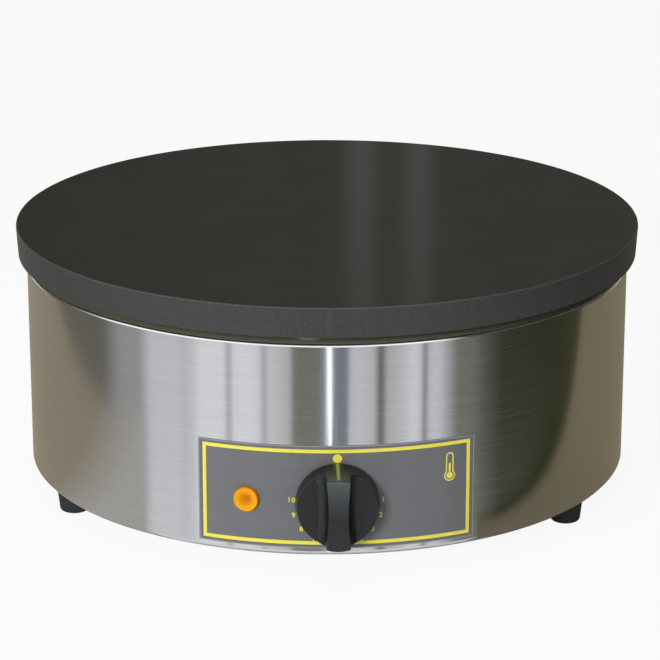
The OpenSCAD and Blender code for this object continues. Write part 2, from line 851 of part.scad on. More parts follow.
// Moulded body with a pocket for the spindle and for the ends of the two screws
module thermostat_body() {
    step = 5;
    color("#3a3a3c") at_wall(0, dial_z) difference() {
        union() {
            translate([-thermostat_w / 2, -thermostat_h / 2, body_back_r + step])
                cube([thermostat_w, thermostat_h, thermostat_depth - step]);
            translate([2 - thermostat_w / 2, 2 - thermostat_h / 2, body_back_r])
                cube([thermostat_w - 4, thermostat_h - 4, step + over]);
        }
        translate([0, 0, body_front_r - spindle_in - over])
            cylinder(d = spindle_d + 1, h = spindle_in + 2 * over);
        for (s = [-1, 1]) translate([s * thermostat_screw_x, 0, body_front_r - 4])
            cylinder(d = small_screw_d + 1, h = 4 + over);
    }
}

module thermostat_screws() {
    color("silver") at_thermostat_screws()
        translate([0, 0, screw_seat_r]) mirror([0, 0, 1])
            pan_screw(small_screw_d, screw_seat_r - body_front_r + 2);
}

module thermostat_terminals() {
    color("goldenrod") at_wall(0, dial_z)
        for (x = [-tab_x, tab_x], y = [-tab_dz, tab_dz])
            translate([x, y, body_back_r - tab_l]) tab();
}

// Children with +X outwards and +Y along the sensing bulb, at its middle
module at_bulb() {
    rotate(bulb_a) translate([bulb_r, 0, bulb_z]) children();
}

module at_clip_screw() {
    rotate(bulb_a) translate([bulb_r + bulb_d / 2 + clip_t + clip_flange_l / 2, 0, 0]) children();
}

module thermostat_bulb() {
    color("peru") at_bulb() rotate([90, 0, 0]) translate([0, 0, -bulb_l / 2])
        cylinder(d = bulb_d, h = bulb_l);
}

// Strap that holds the bulb up against the deck
module clip_profile() {
    inner = bulb_d / 2 + seat_gap;
    outer = inner + clip_t;
    up = bulb_d / 2; // from the bulb's middle to the foot of the strap
    difference() {
        union() {
            circle(r = outer);
            translate([-outer, 0]) square([2 * outer, up]);
            translate([0, up - clip_t]) square([outer + clip_flange_l, clip_t]);
        }
        circle(r = inner);
        translate([-inner, 0]) square([2 * inner, up + over]);
        translate([-outer - over, up]) square([2 * outer + clip_flange_l + 2 * over, outer]);
    }
}

module bulb_clip() {
    color("silver") difference() {
        at_bulb() rotate([90, 0, 0]) translate([0, 0, -clip_w / 2])
            linear_extrude(clip_w) clip_profile();
        at_clip_screw() translate([0, 0, bulb_z])
            cylinder(d = small_screw_d + 2 * screw_gap, h = bulb_d);
    }
}

module bulb_clip_screw() {
    seat_z = bulb_z + bulb_d / 2 - clip_t;
    color("silver") at_clip_screw() translate([0, 0, seat_z])
        pan_screw(small_screw_d, deck_z + stud_depth - 1 - seat_z);
}

// From the bulb under the outer element, over the tray's edge and down to the thermostat
module thermostat_capillary() {
    end = [bulb_r * cos(bulb_a), bulb_r * sin(bulb_a), bulb_z]
        + bulb_l / 2 * [sin(bulb_a), -cos(bulb_a), 0];
    along = [sin(bulb_a), -cos(bulb_a), 0];
    pass_z = insulation_top + 3;
    drop_r = tray_r + tray_gap / 2;
    x = thermostat_w / 4;
    y = -(body_front_r + body_back_r) / 2;
    top = dial_z + thermostat_h / 2;
    color("peru") wire(smooth([
        end, end + 5 * along, end + 6 * along - [0, 0, bulb_z - pass_z],
        polar(drop_r - 12, -78, pass_z), polar(drop_r, -80, pass_z),
        polar(drop_r, -80, pass_z - 12), polar(drop_r, -80, top + 30),
        [x, y, top + 22], [x, y, top],
    ]), capillary_d);
}

// ---- label and knob ----

module control_label() {
    half = label_w / drum_r * 90 / PI;
    color("#63676b") difference() {
        translate([0, 0, drum_z + label_lift]) rotate(-90 - half)
            rotate_extrude(angle = 2 * half, $fn = wall_fn)
                translate([drum_r + seat_gap, 0]) square([label_t, label_h]);
        at_wall(0, dial_z) translate([0, 0, wall_r / 2])
            cylinder(r = thermostat_screw_x + pan_d(small_screw_d) / 2 + 1, h = plate_r);
        at_wall(pilot_a, pilot_z) translate([0, 0, wall_r / 2])
            cylinder(d = lamp_hole_d, h = plate_r);
    }
}

// Radius of the knob's side at height h above its base
function knob_side(h) = knob_d / 2 - h * tan(knob_draft);

// Half-section of the knob's outside, shrunk by t: a leaning side and a crowned front
module knob_profile(t = 0) {
    e = max(knob_edge_r - t, 0.2);
    side = knob_side(knob_h) - t;
    crown_r = (pow(side, 2) + pow(knob_crown, 2)) / 2 / knob_crown;
    front = knob_h - t;
    half_a = asin((side - e) / crown_r);
    polygon(concat(
        [[0, 0], [knob_side(0) - t, 0]],
        arc([knob_side(front - knob_crown - e) - t - e, front - knob_crown - e], e, knob_draft, 80),
        arc([0, front - crown_r], crown_r, 90 - half_a, 90)));
}

// What is scooped out of the knob on one side of its grip
module finger_scoop() {
    f = grip_fillet_r;
    low = knob_skirt_h - finger_dish;
    far = grip_side_r - knob_d / 2;
    translate([grip_w / 2 + grip_side_r, 0, 0]) rotate_extrude($fn = wall_fn)
        polygon(concat(
            [[0, knob_skirt_h], [far, knob_skirt_h]],
            arc([grip_side_r - f, low + f], f, -90, 0),
            [[grip_side_r, knob_h + over], [0, knob_h + over]]));
}

module knob_solid() {
    difference() {
        rotate_extrude() knob_profile();
        finger_scoop();
        mirror([1, 0, 0]) finger_scoop();
    }
}

// The stripe of the knob's skin under the pointer line, on the side that faces up
module pointer_stripe() {
    intersection() {
        difference() {
            rotate_extrude() knob_profile();
            translate([0, 0, -over])
                cylinder(r1 = knob_side(-over) - pointer_t, r2 = knob_side(knob_h) - pointer_t,
                    h = knob_h + over);
        }
        translate([-pointer_w / 2, 0, 0])
            cube([pointer_w, knob_d, knob_h - knob_crown - knob_edge_r]);
    }
}

// Bore of the hub, with a flat that leaves room for the spring
module hub_bore() {
    r = spindle_d / 2 + seat_gap;
    flat = spindle_flat - spindle_d / 2 + spring_t + 2 * spring_gap;
    h = spindle_r - knob_r + 0.5;
    difference() {
        cylinder(r = r, h = h);
        translate([-r - over, flat, -over]) cube([2 * r + 2 * over, r, h + 2 * over]);
    }
}

module control_knob() {
    inside = knob_skirt_h - finger_dish - knob_wall;
    pocket_w = grip_w - 2 * knob_wall;
    pocket_h = knob_h - knob_crown - 2 * knob_wall;
    pocket_y = knob_side(pocket_h) - knob_wall - 0.5;
    color("#2b2e31") at_wall(0, dial_z) translate([0, 0, knob_r]) difference() {
        knob_solid();
        difference() {
            union() {
                translate([0, 0, -over])
                    cylinder(r = knob_side(inside) - knob_wall, h = inside + over);
                for (s = [-1, 1]) translate([-pocket_w / 2, s > 0 ? hub_d / 2 : -pocket_y, 0])
                    cube([pocket_w, pocket_y - hub_d / 2, pocket_h]);
            }
            translate([0, 0, hub_set]) cylinder(d = hub_d, h = knob_h);
        }
        hub_bore();
        pointer_stripe();
    }
}

module knob_pointer() {
    color("#8fa83c") at_wall(0, dial_z) translate([0, 0, knob_r]) pointer_stripe();
}

module knob_spring() {
    z = spindle_flat - spindle_d / 2 + spring_gap;
    w = spindle_d * 0.65;
    color("silver") at_wall(0, dial_z) translate([-w / 2, z, spindle_r - spring_l - 1])
        cube([w, spring_t, spring_l]);
}

module thermostat_spindle() {
    r = spindle_d / 2;
    start = body_front_r - spindle_in;
    color("silver") at_wall(0, dial_z) difference() {
        translate([0, 0, start]) cylinder(r = r, h = spindle_r - start);
        translate([-r - over, spindle_flat - r, knob_r])
            cube([2 * r + 2 * over, r, spindle_r - knob_r + over]);
    }
}

// ---- pilot lamp ----

// Amber cap with a raised rim round a dished face, on a hollow stem
module pilot_lens() {
    r = lens_d / 2;
    e = 0.9;
    stem_r = lamp_d / 2 - 0.7;
    stem_l = 7;
    dish = r - 2 * e; // radius of the dished face
    floor_h = lens_h - 1.6;
    color("orange") at_wall(pilot_a, pilot_z) translate([0, 0, label_r])
        rotate_extrude()
            polygon(concat(
                [[0, floor_h], [dish * 0.35, floor_h + 0.15], [dish * 0.7, floor_h + 0.6]],
                [[dish, lens_h - 0.35]],
                arc([r - e, lens_h - e], e, 90, 0),
                [[r, 0], [stem_r, 0], [stem_r, -stem_l], [stem_r - 0.8, -stem_l],
                 [stem_r - 0.8, -1], [0, -1]]));
}

module pilot_housing() {
    wall = 0.6;
    back = wall_r - lamp_depth;
    color("#303236") at_wall(pilot_a, pilot_z) difference() {
        union() {
            translate([0, 0, back]) cylinder(d = lamp_d, h = drum_r - back);
            translate([-lamp_d / 2, -lamp_d / 4, back - 3]) cube([lamp_d, lamp_d / 2, 3 + over]);
        }
        translate([0, 0, back + 2]) cylinder(d = lamp_d - 2 * wall, h = drum_r);
    }
}

module pilot_neon() {
    d = 6;
    l = 14;
    color("navajowhite") at_wall(pilot_a, pilot_z) translate([0, 0, wall_r - lamp_depth + 2])
        rotate_extrude()
            polygon(concat([[0, 0], [d / 2, 0]], arc([0, l - d / 2], d / 2, 0, 90)));
}

// Spring ring that grips the housing behind the wall
module pilot_clip() {
    d = lamp_d + 7;
    t = 0.8;
    front = sqrt(pow(wall_r, 2) - pow(d / 2, 2));
    color("silver") at_wall(pilot_a, pilot_z) translate([0, 0, front - t])
        ring(d, lamp_d + 2 * seat_gap, t);
}

pilot_tab_x = 3.5;
pilot_tab_w = 2.8;

module pilot_terminals() {
    color("silver") at_wall(pilot_a, pilot_z)
        for (s = [-1, 1])
            translate([s * pilot_tab_x - pilot_tab_w / 2, -tab_t / 2, wall_r - lamp_depth - 3 - tab_l])
                cube([pilot_tab_w, tab_t, tab_l]);
}

// ---- cable gland ----

gland_corner = gland_af / cos(30);

// Seal that follows the wall on one side and is flat on the other
module gland_washer() {
    color("#26282a") difference() {
        at_wall(180, gland_z) translate([0, 0, wall_r])
            ring(gland_af, gland_hole_d, sheet_t + washer_out);
        cylinder(r = drum_r + seat_gap, h = drum_top, $fn = wall_fn);
    }
}

module gland_body() {
    color("#3c3f43") at_wall(180, gland_z) difference() {
        union() {
            translate([0, 0, wall_r - locknut_t - 3])
                cylinder(d = gland_d, h = locknut_t + 3 + sheet_t + gland_neck);
            translate([0, 0, drum_r + washer_out]) hex(gland_corner, gland_flange_t);
        }
        translate([0, 0, wall_r / 2]) cylinder(d = gland_bore_d, h = plate_r);
        translate([0, 0, drum_r + gland_neck - seal_l])
            cylinder(d = gland_d - 5, h = seal_l + over);
    }
}

module gland_locknut() {
    front = sqrt(pow(wall_r, 2) - pow(gland_corner / 2, 2));
    color("#3c3f43") at_wall(180, gland_z) translate([0, 0, front - locknut_t]) difference() {
        hex(gland_corner, locknut_t);
        translate([0, 0, -over])
            cylinder(d = gland_d + 2 * seat_gap, h = locknut_t + 2 * over);
    }
}

module gland_seal() {
    color("#26282a") at_wall(180, gland_z) translate([0, 0, drum_r + gland_neck - seal_l])
        ring(gland_d - 5 - 2 * seat_gap, cable_bore_d, seal_l);
}

// Nut with a hexagonal foot and a dome that closes on the cable
module gland_dome_nut() {
    foot_z = drum_r + washer_out + gland_flange_t + 0.5;
    end_z = drum_r + gland_out;
    roof_z = drum_r + gland_neck + 0.5;
    dome_l = 9;
    mouth_d = cable_bore_d + 4;
    color("#3c3f43") at_wall(180, gland_z) difference() {
        union() {
            translate([0, 0, foot_z]) hex(gland_corner, end_z - dome_l - foot_z);
            translate([0, 0, end_z - dome_l - over]) rotate_extrude()
                polygon(concat(
                    [[0, 0], [gland_af / 2, 0]],
                    arc([mouth_d / 2 + 1.5, over], gland_af / 2 - mouth_d / 2 - 1.5, 0, 90),
                    [[0, over + gland_af / 2 - mouth_d / 2 - 1.5]]));
            translate([0, 0, end_z - dome_l]) cylinder(d = mouth_d + 3, h = dome_l);
        }
        translate([0, 0, foot_z - over])
            cylinder(d = gland_d + 2 * seat_gap, h = roof_z - foot_z + over);
        translate([0, 0, foot_z]) cylinder(d = mouth_d, h = gland_out);
    }
}

// ---- wiring ----

module at_block_screws() {
    for (s = [-1, 1]) translate([s * block_screw_x, block_y, 0]) children();
}

// The four ways: live, lamp neutral, element neutral and earth
function way_x(i) = (i - 1.5) * way_pitch;

module at_ways() {
    for (i = [0:3]) translate([way_x(i), block_y, way_z]) children();
}

module terminal_block() {
    groove_w = 3; // between the ways
    color("ivory") difference() {
        translate([-block_w / 2, block_y - block_depth / 2, cover_top])
            cube([block_w, block_depth, block_h]);
        at_ways() rotate([90, 0, 0]) translate([0, 0, -block_depth / 2 - over])
            cylinder(d = 5 + 2 * seat_gap, h = block_depth + 2 * over);
        for (s = [-1, 1]) at_ways() translate([0, s * insert_l / 4, 0])
            cylinder(d = 4, h = block_h);
        for (i = [0:2])
            translate([way_x(i + 0.5) - groove_w / 2, block_y - block_depth / 2 - over,
                       cover_top + block_h - groove_w])
                cube([groove_w, block_depth + 2 * over, groove_w + over]);
        at_block_screws() translate([0, 0, cover_top - over])
            cylinder(d = small_screw_d + 2 * seat_gap, h = block_screw_l + over);
    }
}

module terminal_inserts() {
    color("goldenrod") difference() {
        at_ways() rotate([90, 0, 0]) translate([0, 0, -insert_l / 2])
            cylinder(d = 5, h = insert_l);
        for (s = [-1, 1]) at_ways() translate([0, s * insert_l / 4, 0])
            cylinder(d = 3 + 2 * seat_gap, h = block_h);
    }
}

module terminal_screws() {
    color("silver") for (s = [-1, 1]) at_ways() translate([0, s * insert_l / 4, 0.5])
        cylinder(d = 3, h = block_h * 0.3);
}

module block_screws() {
    color("silver") translate([0, 0, cover_top - cover_t]) at_block_screws()
        pan_screw(small_screw_d, block_screw_l);
}

module earth_screw() {
    color("silver") translate(polar(earth_r, earth_a, cover_top - cover_t))
        pan_screw(small_screw_d, cover_t + nut_h(small_screw_d) + 4);
}

module earth_nut() {
    color("goldenrod") translate(polar(earth_r, earth_a, cover_top + lug_t)) nut(small_screw_d);
}

// Ends of the leads: a thermostat tab, a way of the terminal block and a lamp tab
function tab_end(x, y) = [x, tab_l - body_back_r, dial_z + y];
function way_end(i) = [way_x(i), block_y - insert_l / 2, way_z];
function lamp_end(s) =
    let (r = wall_r - lamp_depth - 3 - tab_l, c = cos(pilot_a), n = sin(pilot_a))
    [r * n + s * pilot_tab_x * c, s * pilot_tab_x * n - r * c, pilot_z];

// Points tied along the wall from angle a0 to a1, at distance r
function loom(r, a0, a1) = [for (i = [0:5]) polar(r, a0 + (a1 - a0) * i / 5, lead_z)];

module lead_live() {
    a = way_end(0);
    b = tab_end(-tab_x, -tab_dz);
    color("saddlebrown") wire(smooth(concat(
        [a, a - [0, 14, 0], [a.x - 20, a.y - 18, lead_z]],
        loom(loom_r, 150, 240),
        [[b.x, b.y + 30, lead_z], b + [0, 20, 0], b])), lead_d);
}

// Thermostat to both elements and to the pilot lamp
module leads_switched() {
    low = tab_end(tab_x, -tab_dz);
    high = tab_end(tab_x, tab_dz);
    lamp = tab_end(-tab_x, tab_dz);
    lens = lamp_end(1);
    inwards = [-sin(pilot_a), cos(pilot_a), 0];
    outer = leg_end(coil_r[0], coil_r[1], 0, tab_z - tab_l);
    inner = leg_end(coil_r[2], coil_r[3], 0, tab_z - tab_l);
    over_block = cover_top + block_h + 15;
    color("black") {
        wire(smooth(concat(
            [low, low + [0, 18, 0], [low.x + 6, low.y + 26, lead_z]],
            loom(loom_r, -60, 60),
            [[outer.x + 50, outer.y, over_block], [outer.x, outer.y, over_block], outer])), lead_d);
        wire(smooth(concat(
            [high, high + [0, 20, 0], [high.x + 14, high.y + 37, lead_z]],
            loom(loom_r - lead_step, -60, 45),
            [[inner.x + 25, inner.y, lead_z], inner - [0, 0, 40], inner])), lead_d);
        wire(smooth([lamp, lamp + [0, 16, 0], lens + 16 * inwards, lens]), lead_d);
    }
}

// Terminal block to both elements and to the pilot lamp
module leads_neutral() {
    a = way_end(1);
    b = way_end(2);
    lens = lamp_end(-1);
    inwards = [-sin(pilot_a), cos(pilot_a), 0];
    side = lead_d / 2 + seat_gap; // two leads share a tab side by side
    foot_a = leg_a + coil_open(coil_r[0], coil_r[1]);
    outer = leg_end(coil_r[0], coil_r[1], 1, tab_z - tab_l);
    inner = leg_end(coil_r[2], coil_r[3], 1, tab_z - tab_l);
    along = [cos(foot_a), sin(foot_a), 0];
    drop = [0, 0, 25];
    color("royalblue") {
        wire(smooth([
            b, b - [0, 10, 0], [b.x, b.y - 12, b.z + 25], outer + side * along - drop,
            outer + side * along,
        ]), lead_d);
        wire(smooth([
            outer - side * along, outer - side * along - drop, inner - drop, inner,
        ]), lead_d);
        wire(smooth(concat(
            [a, a - [0, 18, 0], [a.x - 22, a.y - 30, lead_z]],
            loom(loom_r - lead_step, 150, 225),
            [[lens.x - 14, lens.y + 30, lens.z], lens + 14 * inwards, lens])), lead_d);
    }
}

// Earth lead with the lug that the earth nut clamps to the cover
module lead_earth() {
    a = way_end(3);
    barrel_z = cover_top + lug_barrel_d / 2;
    along = [cos(lug_a), sin(lug_a), 0];
    end = polar(earth_r, earth_a, barrel_z) + (lug_reach + lug_barrel_l) * along;
    color("yellowgreen") {
        translate(polar(earth_r, earth_a, cover_top)) rotate(lug_a) {
            difference() {
                union() {
                    cylinder(d = pan_d(small_screw_d) + 1, h = lug_t);
                    translate([0, -lug_barrel_d / 2, 0]) cube([lug_reach + 1, lug_barrel_d, lug_t]);
                }
                translate([0, 0, -over])
                    cylinder(d = small_screw_d + 2 * screw_gap, h = lug_t + 2 * over);
            }
            translate([lug_reach, 0, lug_barrel_d / 2]) rotate([0, 90, 0])
                cylinder(d = lug_barrel_d, h = lug_barrel_l);
        }
        wire(smooth([a, a - [0, 14, 0], end + 30 * along + [0, 0, 4], end + 10 * along, end]), lead_d);
    }
}

griddle_plate();
plate_spacers();
plate_washers();
plate_bolts();
drum_shell();
bottom_cover();
cover_screws();
foot_front_left();
foot_front_right();
foot_rear();
foot_screws();
foot_washers();
foot_nuts();
heating_element_outer();
heating_element_inner();
element_beads();
element_terminals();
clamp_bars();
clamp_studs();
clamp_nuts();
tray_spacers();
insulation_disc();
insulation_tray();
tray_washers();
tray_nuts();
thermostat_saddle();
thermostat_plate();
thermostat_body();
thermostat_screws();
thermostat_terminals();
thermostat_bulb();
thermostat_capillary();
bulb_clip();
bulb_clip_screw();
control_label();
control_knob();
knob_pointer();
knob_spring();
thermostat_spindle();
pilot_lens();
pilot_housing();
pilot_neon();
pilot_clip();
pilot_terminals();
gland_washer();
gland_body();
gland_locknut();
gland_seal();
gland_dome_nut();
terminal_block();
terminal_inserts();
terminal_screws();
block_screws();
earth_screw();
earth_nut();
lead_live();
leads_switched();
leads_neutral();
lead_earth();
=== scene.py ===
"""An electric crepe maker: the finish of each piece, put round the fixed frame of solid parts.

Metres throughout. The counter is z = 0, +Z is up and the knob faces -Y.
"""

import math

import bmesh
import bpy
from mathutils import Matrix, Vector


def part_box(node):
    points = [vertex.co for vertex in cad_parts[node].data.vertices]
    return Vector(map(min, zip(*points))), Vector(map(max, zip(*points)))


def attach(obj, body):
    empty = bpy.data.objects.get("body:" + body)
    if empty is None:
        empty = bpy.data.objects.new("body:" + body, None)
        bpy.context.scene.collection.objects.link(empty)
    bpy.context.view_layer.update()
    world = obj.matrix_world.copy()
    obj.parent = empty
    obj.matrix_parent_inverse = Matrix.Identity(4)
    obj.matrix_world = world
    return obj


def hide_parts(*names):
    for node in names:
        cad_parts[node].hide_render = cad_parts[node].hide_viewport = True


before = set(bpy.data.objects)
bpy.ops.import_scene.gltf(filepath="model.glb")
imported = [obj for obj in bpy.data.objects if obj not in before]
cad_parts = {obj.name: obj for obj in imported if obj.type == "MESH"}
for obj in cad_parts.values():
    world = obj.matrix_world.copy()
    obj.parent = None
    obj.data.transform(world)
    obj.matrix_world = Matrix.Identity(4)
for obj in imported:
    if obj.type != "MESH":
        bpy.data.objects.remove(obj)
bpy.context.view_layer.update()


# ---- bottom cover ----
# A disc of zinc-coated sheet, pressed up in the middle and pierced with air slots, that
# closes the body from below. Its spangle is faint and its cut edges are dull.


def shade(code):
    """A colour written as six hexadecimal digits, made linear as the shader wants it."""
    parts = [int(code[i : i + 2], 16) / 255 for i in (0, 2, 4)]
    return [*(p / 12.92 if p <= 0.04045 else ((p + 0.055) / 1.055) ** 2.4 for p in parts), 1]


def new_finish(name, roughness, metallic=0.0):
    """An empty material with one shader. Returns the material, its node tree and the shader."""
    finish = bpy.data.materials.new(name)
    finish.use_nodes = True
    tree = finish.node_tree
    shader = tree.nodes["Principled BSDF"]
    shader.inputs["Roughness"].default_value = roughness
    shader.inputs["Metallic"].default_value = metallic
    return finish, tree, shader


def grain(tree, size, stretch=(1, 1, 1), detail=3.0):
    """Noise with grains of a given size, drawn out along an axis by its stretch."""
    place = tree.nodes.new("ShaderNodeTexCoord")
    scale = tree.nodes.new("ShaderNodeMapping")
    noise = tree.nodes.new("ShaderNodeTexNoise")
    scale.inputs["Scale"].default_value = [1 / s for s in stretch]
    noise.inputs["Scale"].default_value = 1 / size
    noise.inputs["Detail"].default_value = detail
    tree.links.new(place.outputs["Object"], scale.inputs["Vector"])
    tree.links.new(scale.outputs["Vector"], noise.inputs["Vector"])
    return noise.outputs["Fac"]


def spread(tree, value, low, high, start=0.3, end=0.7):
    """A value between start and end, spread out to run from low to high."""
    node = tree.nodes.new("ShaderNodeMapRange")
    for name, number in zip(("From Min", "From Max", "To Min", "To Max"), (start, end, low, high)):
        node.inputs[name].default_value = number
    tree.links.new(value, node.inputs["Value"])
    return node.outputs["Result"]


def feed(tree, value, socket):
    """Gives a node's input the output of another node, or a plain value."""
    if isinstance(value, bpy.types.NodeSocket):
        tree.links.new(value, socket)
    else:
        socket.default_value = value


def blend(tree, amount, first, second):
    """A colour between two others, each a colour or the output of a node."""
    node = tree.nodes.new("ShaderNodeMix")
    node.data_type = "RGBA"
    tree.links.new(amount, node.inputs["Factor"])
    for name, colour in (("A", first), ("B", second)):
        feed(tree, colour, next(s for s in node.inputs if s.name == name and s.type == "RGBA"))
    return next(s for s in node.outputs if s.type == "RGBA")


def roughen(tree, shader, height, depth, strength=1.0):
    """Relief in the surface, of a given depth in metres."""
    node = tree.nodes.new("ShaderNodeBump")
    node.inputs["Strength"].default_value = strength
    node.inputs["Distance"].default_value = depth
    tree.links.new(height, node.inputs["Height"])
    tree.links.new(node.outputs["Normal"], shader.inputs["Normal"])


def mottled(name, pale, dark, size, roughness, depth=0.0, metallic=0.0, stretch=(1, 1, 1)):
    """A finish that wanders between two shades, with a fine relief of the same grain."""
    cloud_size, rough_spread = 12 * size, 0.15 * roughness
    finish, tree, shader = new_finish(name, roughness, metallic)
    cloud = grain(tree, cloud_size, stretch)
    fine = grain(tree, size, stretch)
    tint = blend(tree, spread(tree, cloud, 0, 1), shade(pale), shade(dark))
    tree.links.new(tint, shader.inputs["Base Color"])
    low, high = roughness - rough_spread, min(1, roughness + rough_spread)
    tree.links.new(spread(tree, fine, low, high), shader.inputs["Roughness"])
    if depth:
        roughen(tree, shader, fine, depth)
    return finish, tree, shader


def dress(finish, *names):
    """Gives solid parts of the frame a finish."""
    for name in names:
        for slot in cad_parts[name].material_slots:
            slot.material = finish


zinc_sheet = mottled("zinc_sheet", "b4b8ba", "989c9e", 0.0008, 0.42, 0.00002, metallic=0.9)[0]
dress(zinc_sheet, "bottom_cover")


# ---- cover screws and feet ----
# Three moulded rubber feet, each held by a screw that sits deep in its pocket, and six
# pan-head screws that hold the cover to the flange of the body.


def turned(name, profile, sides):
    """A piece turned on Z: a ring is drawn out along a profile of (radius, height) points."""
    radius, height = profile[0]
    bpy.ops.object.select_all(action="DESELECT")
    bpy.ops.mesh.primitive_circle_add(vertices=sides, radius=radius)
    piece = bpy.context.object
    piece.name = piece.data.name = name
    bpy.ops.object.mode_set(mode="EDIT")
    bpy.ops.mesh.select_mode(type="EDGE")
    bpy.ops.mesh.select_all(action="SELECT")
    bpy.ops.transform.translate(value=(0, 0, height))
    for next_radius, next_height in profile[1:]:
        bpy.ops.mesh.extrude_region_move(
            TRANSFORM_OT_translate={"value": (0, 0, next_height - height)}
        )
        share = next_radius / radius
        bpy.ops.transform.resize(value=(share, share, 1))
        radius, height = next_radius, next_height
    close_up()
    return piece


def close_up():
    """Welds a mesh in edit mode, fills its open rings and turns its faces outwards."""
    bpy.ops.mesh.select_mode(type="VERT")
    bpy.ops.mesh.select_all(action="SELECT")
    bpy.ops.mesh.remove_doubles(threshold=1e-6)
    bpy.ops.mesh.fill_holes(sides=0)
    bpy.ops.mesh.select_all(action="SELECT")
    bpy.ops.mesh.normals_make_consistent(inside=False)
    bpy.ops.object.mode_set(mode="OBJECT")


def arc(radius, height, bend, start, end, steps=5):
    """Points of a profile round a bend, from one angle to another in degrees."""
    turns = [math.radians(start + (end - start) * i / steps) for i in range(steps + 1)]
    return [(radius + bend * math.cos(t), height + bend * math.sin(t)) for t in turns]


def place(piece, location=(0, 0, 0), rotation=(0, 0, 0)):
    """Puts a piece where it goes and leaves its object at the origin."""
    alone(piece)
    piece.location = location
    piece.rotation_euler = rotation
    bpy.ops.object.transform_apply(location=True, rotation=True, scale=True)


def alone(*pieces):
    """Selects these pieces and nothing else, with the first one active."""
    bpy.ops.object.select_all(action="DESELECT")
    for piece in pieces:
        piece.select_set(True)
    bpy.context.view_layer.objects.active = pieces[0]


def apply(piece, kind, **settings):
    """Adds a modifier and applies it."""
    alone(piece)
    modifier = piece.modifiers.new(kind, kind)
    for name, value in settings.items():
        setattr(modifier, name, value)
    bpy.ops.object.modifier_apply(modifier=modifier.name)


def soften(piece, angle=30):
    """Smooth shading between crisp edges, with flat faces kept flat."""
    alone(piece)
    bpy.ops.object.shade_smooth_by_angle(angle=math.radians(angle))
    apply(piece, "WEIGHTED_NORMAL", keep_sharp=True)


def copied(piece, name, location=(0, 0, 0), turn=0.0):
    """A copy with its own mesh, turned on the spot and then moved."""
    twin = piece.copy()
    twin.data = piece.data.copy()
    twin.name = twin.data.name = name
    bpy.context.collection.objects.link(twin)
    place(twin, location, (0, 0, turn))
    return twin


def joined(name, pieces):
    """Several separate shapes kept as one piece."""
    alone(*pieces)
    if len(pieces) > 1:
        bpy.ops.object.join()
    piece = bpy.context.object
    piece.name = piece.data.name = name
    return piece


def cut(piece, tools, way="DIFFERENCE"):
    """Cuts shapes out of a piece, or welds them on."""
    tool = joined("tool", tools)
    apply(piece, "BOOLEAN", object=tool, operation=way, solver="EXACT")
    bpy.data.objects.remove(tool)


def rod(diameter, length, middle, rotation=(0, 0, 0), sides=48):
    """A round bar, to cut a hole with or to weld on."""
    bpy.ops.object.select_all(action="DESELECT")
    bpy.ops.mesh.primitive_cylinder_add(
        vertices=sides, radius=diameter / 2, depth=length, location=middle, rotation=rotation
    )
    return bpy.context.object


def bar(size, middle, turn=0.0):
    """A square bar, to cut a slot with or to weld on."""
    bpy.ops.object.select_all(action="DESELECT")
    bpy.ops.mesh.primitive_cube_add(size=1, location=middle, rotation=(0, 0, turn), scale=size)
    return bpy.context.object


def finished(piece, finish, slot, body, *nodes):
    """Gives a piece its finish, stands it in for its solid parts and fixes it to a body."""
    piece.data.materials.clear()
    piece.data.materials.append(finish)
    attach(piece, body)
    if nodes:
        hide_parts(*nodes)


def polar(radius, degrees, height):
    """A point at a distance and an angle from the middle of the body."""
    turn = math.radians(degrees)
    return radius * math.cos(turn), radius * math.sin(turn), height


foot_low, foot_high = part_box("foot_rear")
foot_h = foot_high.z - foot_low.z
foot_d, foot_tip_d, foot_edge = 0.0215, 0.019, 0.0025
pocket_d, pocket_h, pocket_edge, foot_screw_hole_d = 0.011, 0.008, 0.0004, 0.0055
foot_ring = 0.1797
foot_turns = {"foot_rear": 84.85, "foot_front_left": 204.85, "foot_front_right": 324.85}

rubber = mottled("rubber", "2a2e30", "1e2123", 0.0012, 0.62, 0.00004)[0]
tip = foot_tip_d / 2
foot = turned(
    "foot",
    [(pocket_d / 2, pocket_h), (pocket_d / 2, pocket_edge), (pocket_d / 2 + pocket_edge, 0)]
    + arc(tip - foot_edge, foot_edge, foot_edge, -90, 0)
    + [(foot_d / 2, foot_h), (foot_screw_hole_d / 2, foot_h), (foot_screw_hole_d / 2, pocket_h)]
    + [(pocket_d / 2, pocket_h)],
    sides=64,
)
soften(foot)
for name, turn in foot_turns.items():
    piece = copied(foot, name + "_rubber", polar(foot_ring, turn, 0))
    finished(piece, rubber, "rubber_black", "base", name)
bpy.data.objects.remove(foot)

zinc_screw = mottled("zinc_screw", "c2c3bd", "a2a39c", 0.0006, 0.34, 0.00001, metallic=0.95)[0]


def pan_screw(name, d, length):
    """A pan-head screw with a cross recess, its head below z = 0 and its shank above."""
    head_r, head_h, point = d, 0.65 * d, d / 4
    recess_w, recess_l, recess_h = 0.22 * d, 1.1 * d, 0.9 * head_h
    screw = turned(
        name,
        [(0.25 * d, -head_h), (0.6 * d, -0.94 * head_h)]
        + arc(head_r - head_h / 2, -head_h / 2, head_h / 2, -60, 0)
        + [(head_r, 0), (d / 2, 0), (d / 2, length - point), (point, length)],
        sides=48,
    )
    for turn in (0, math.pi / 2):
        cut(screw, [bar((recess_w, recess_l, recess_h), (0, 0, -head_h), turn)])
    soften(screw)
    return screw


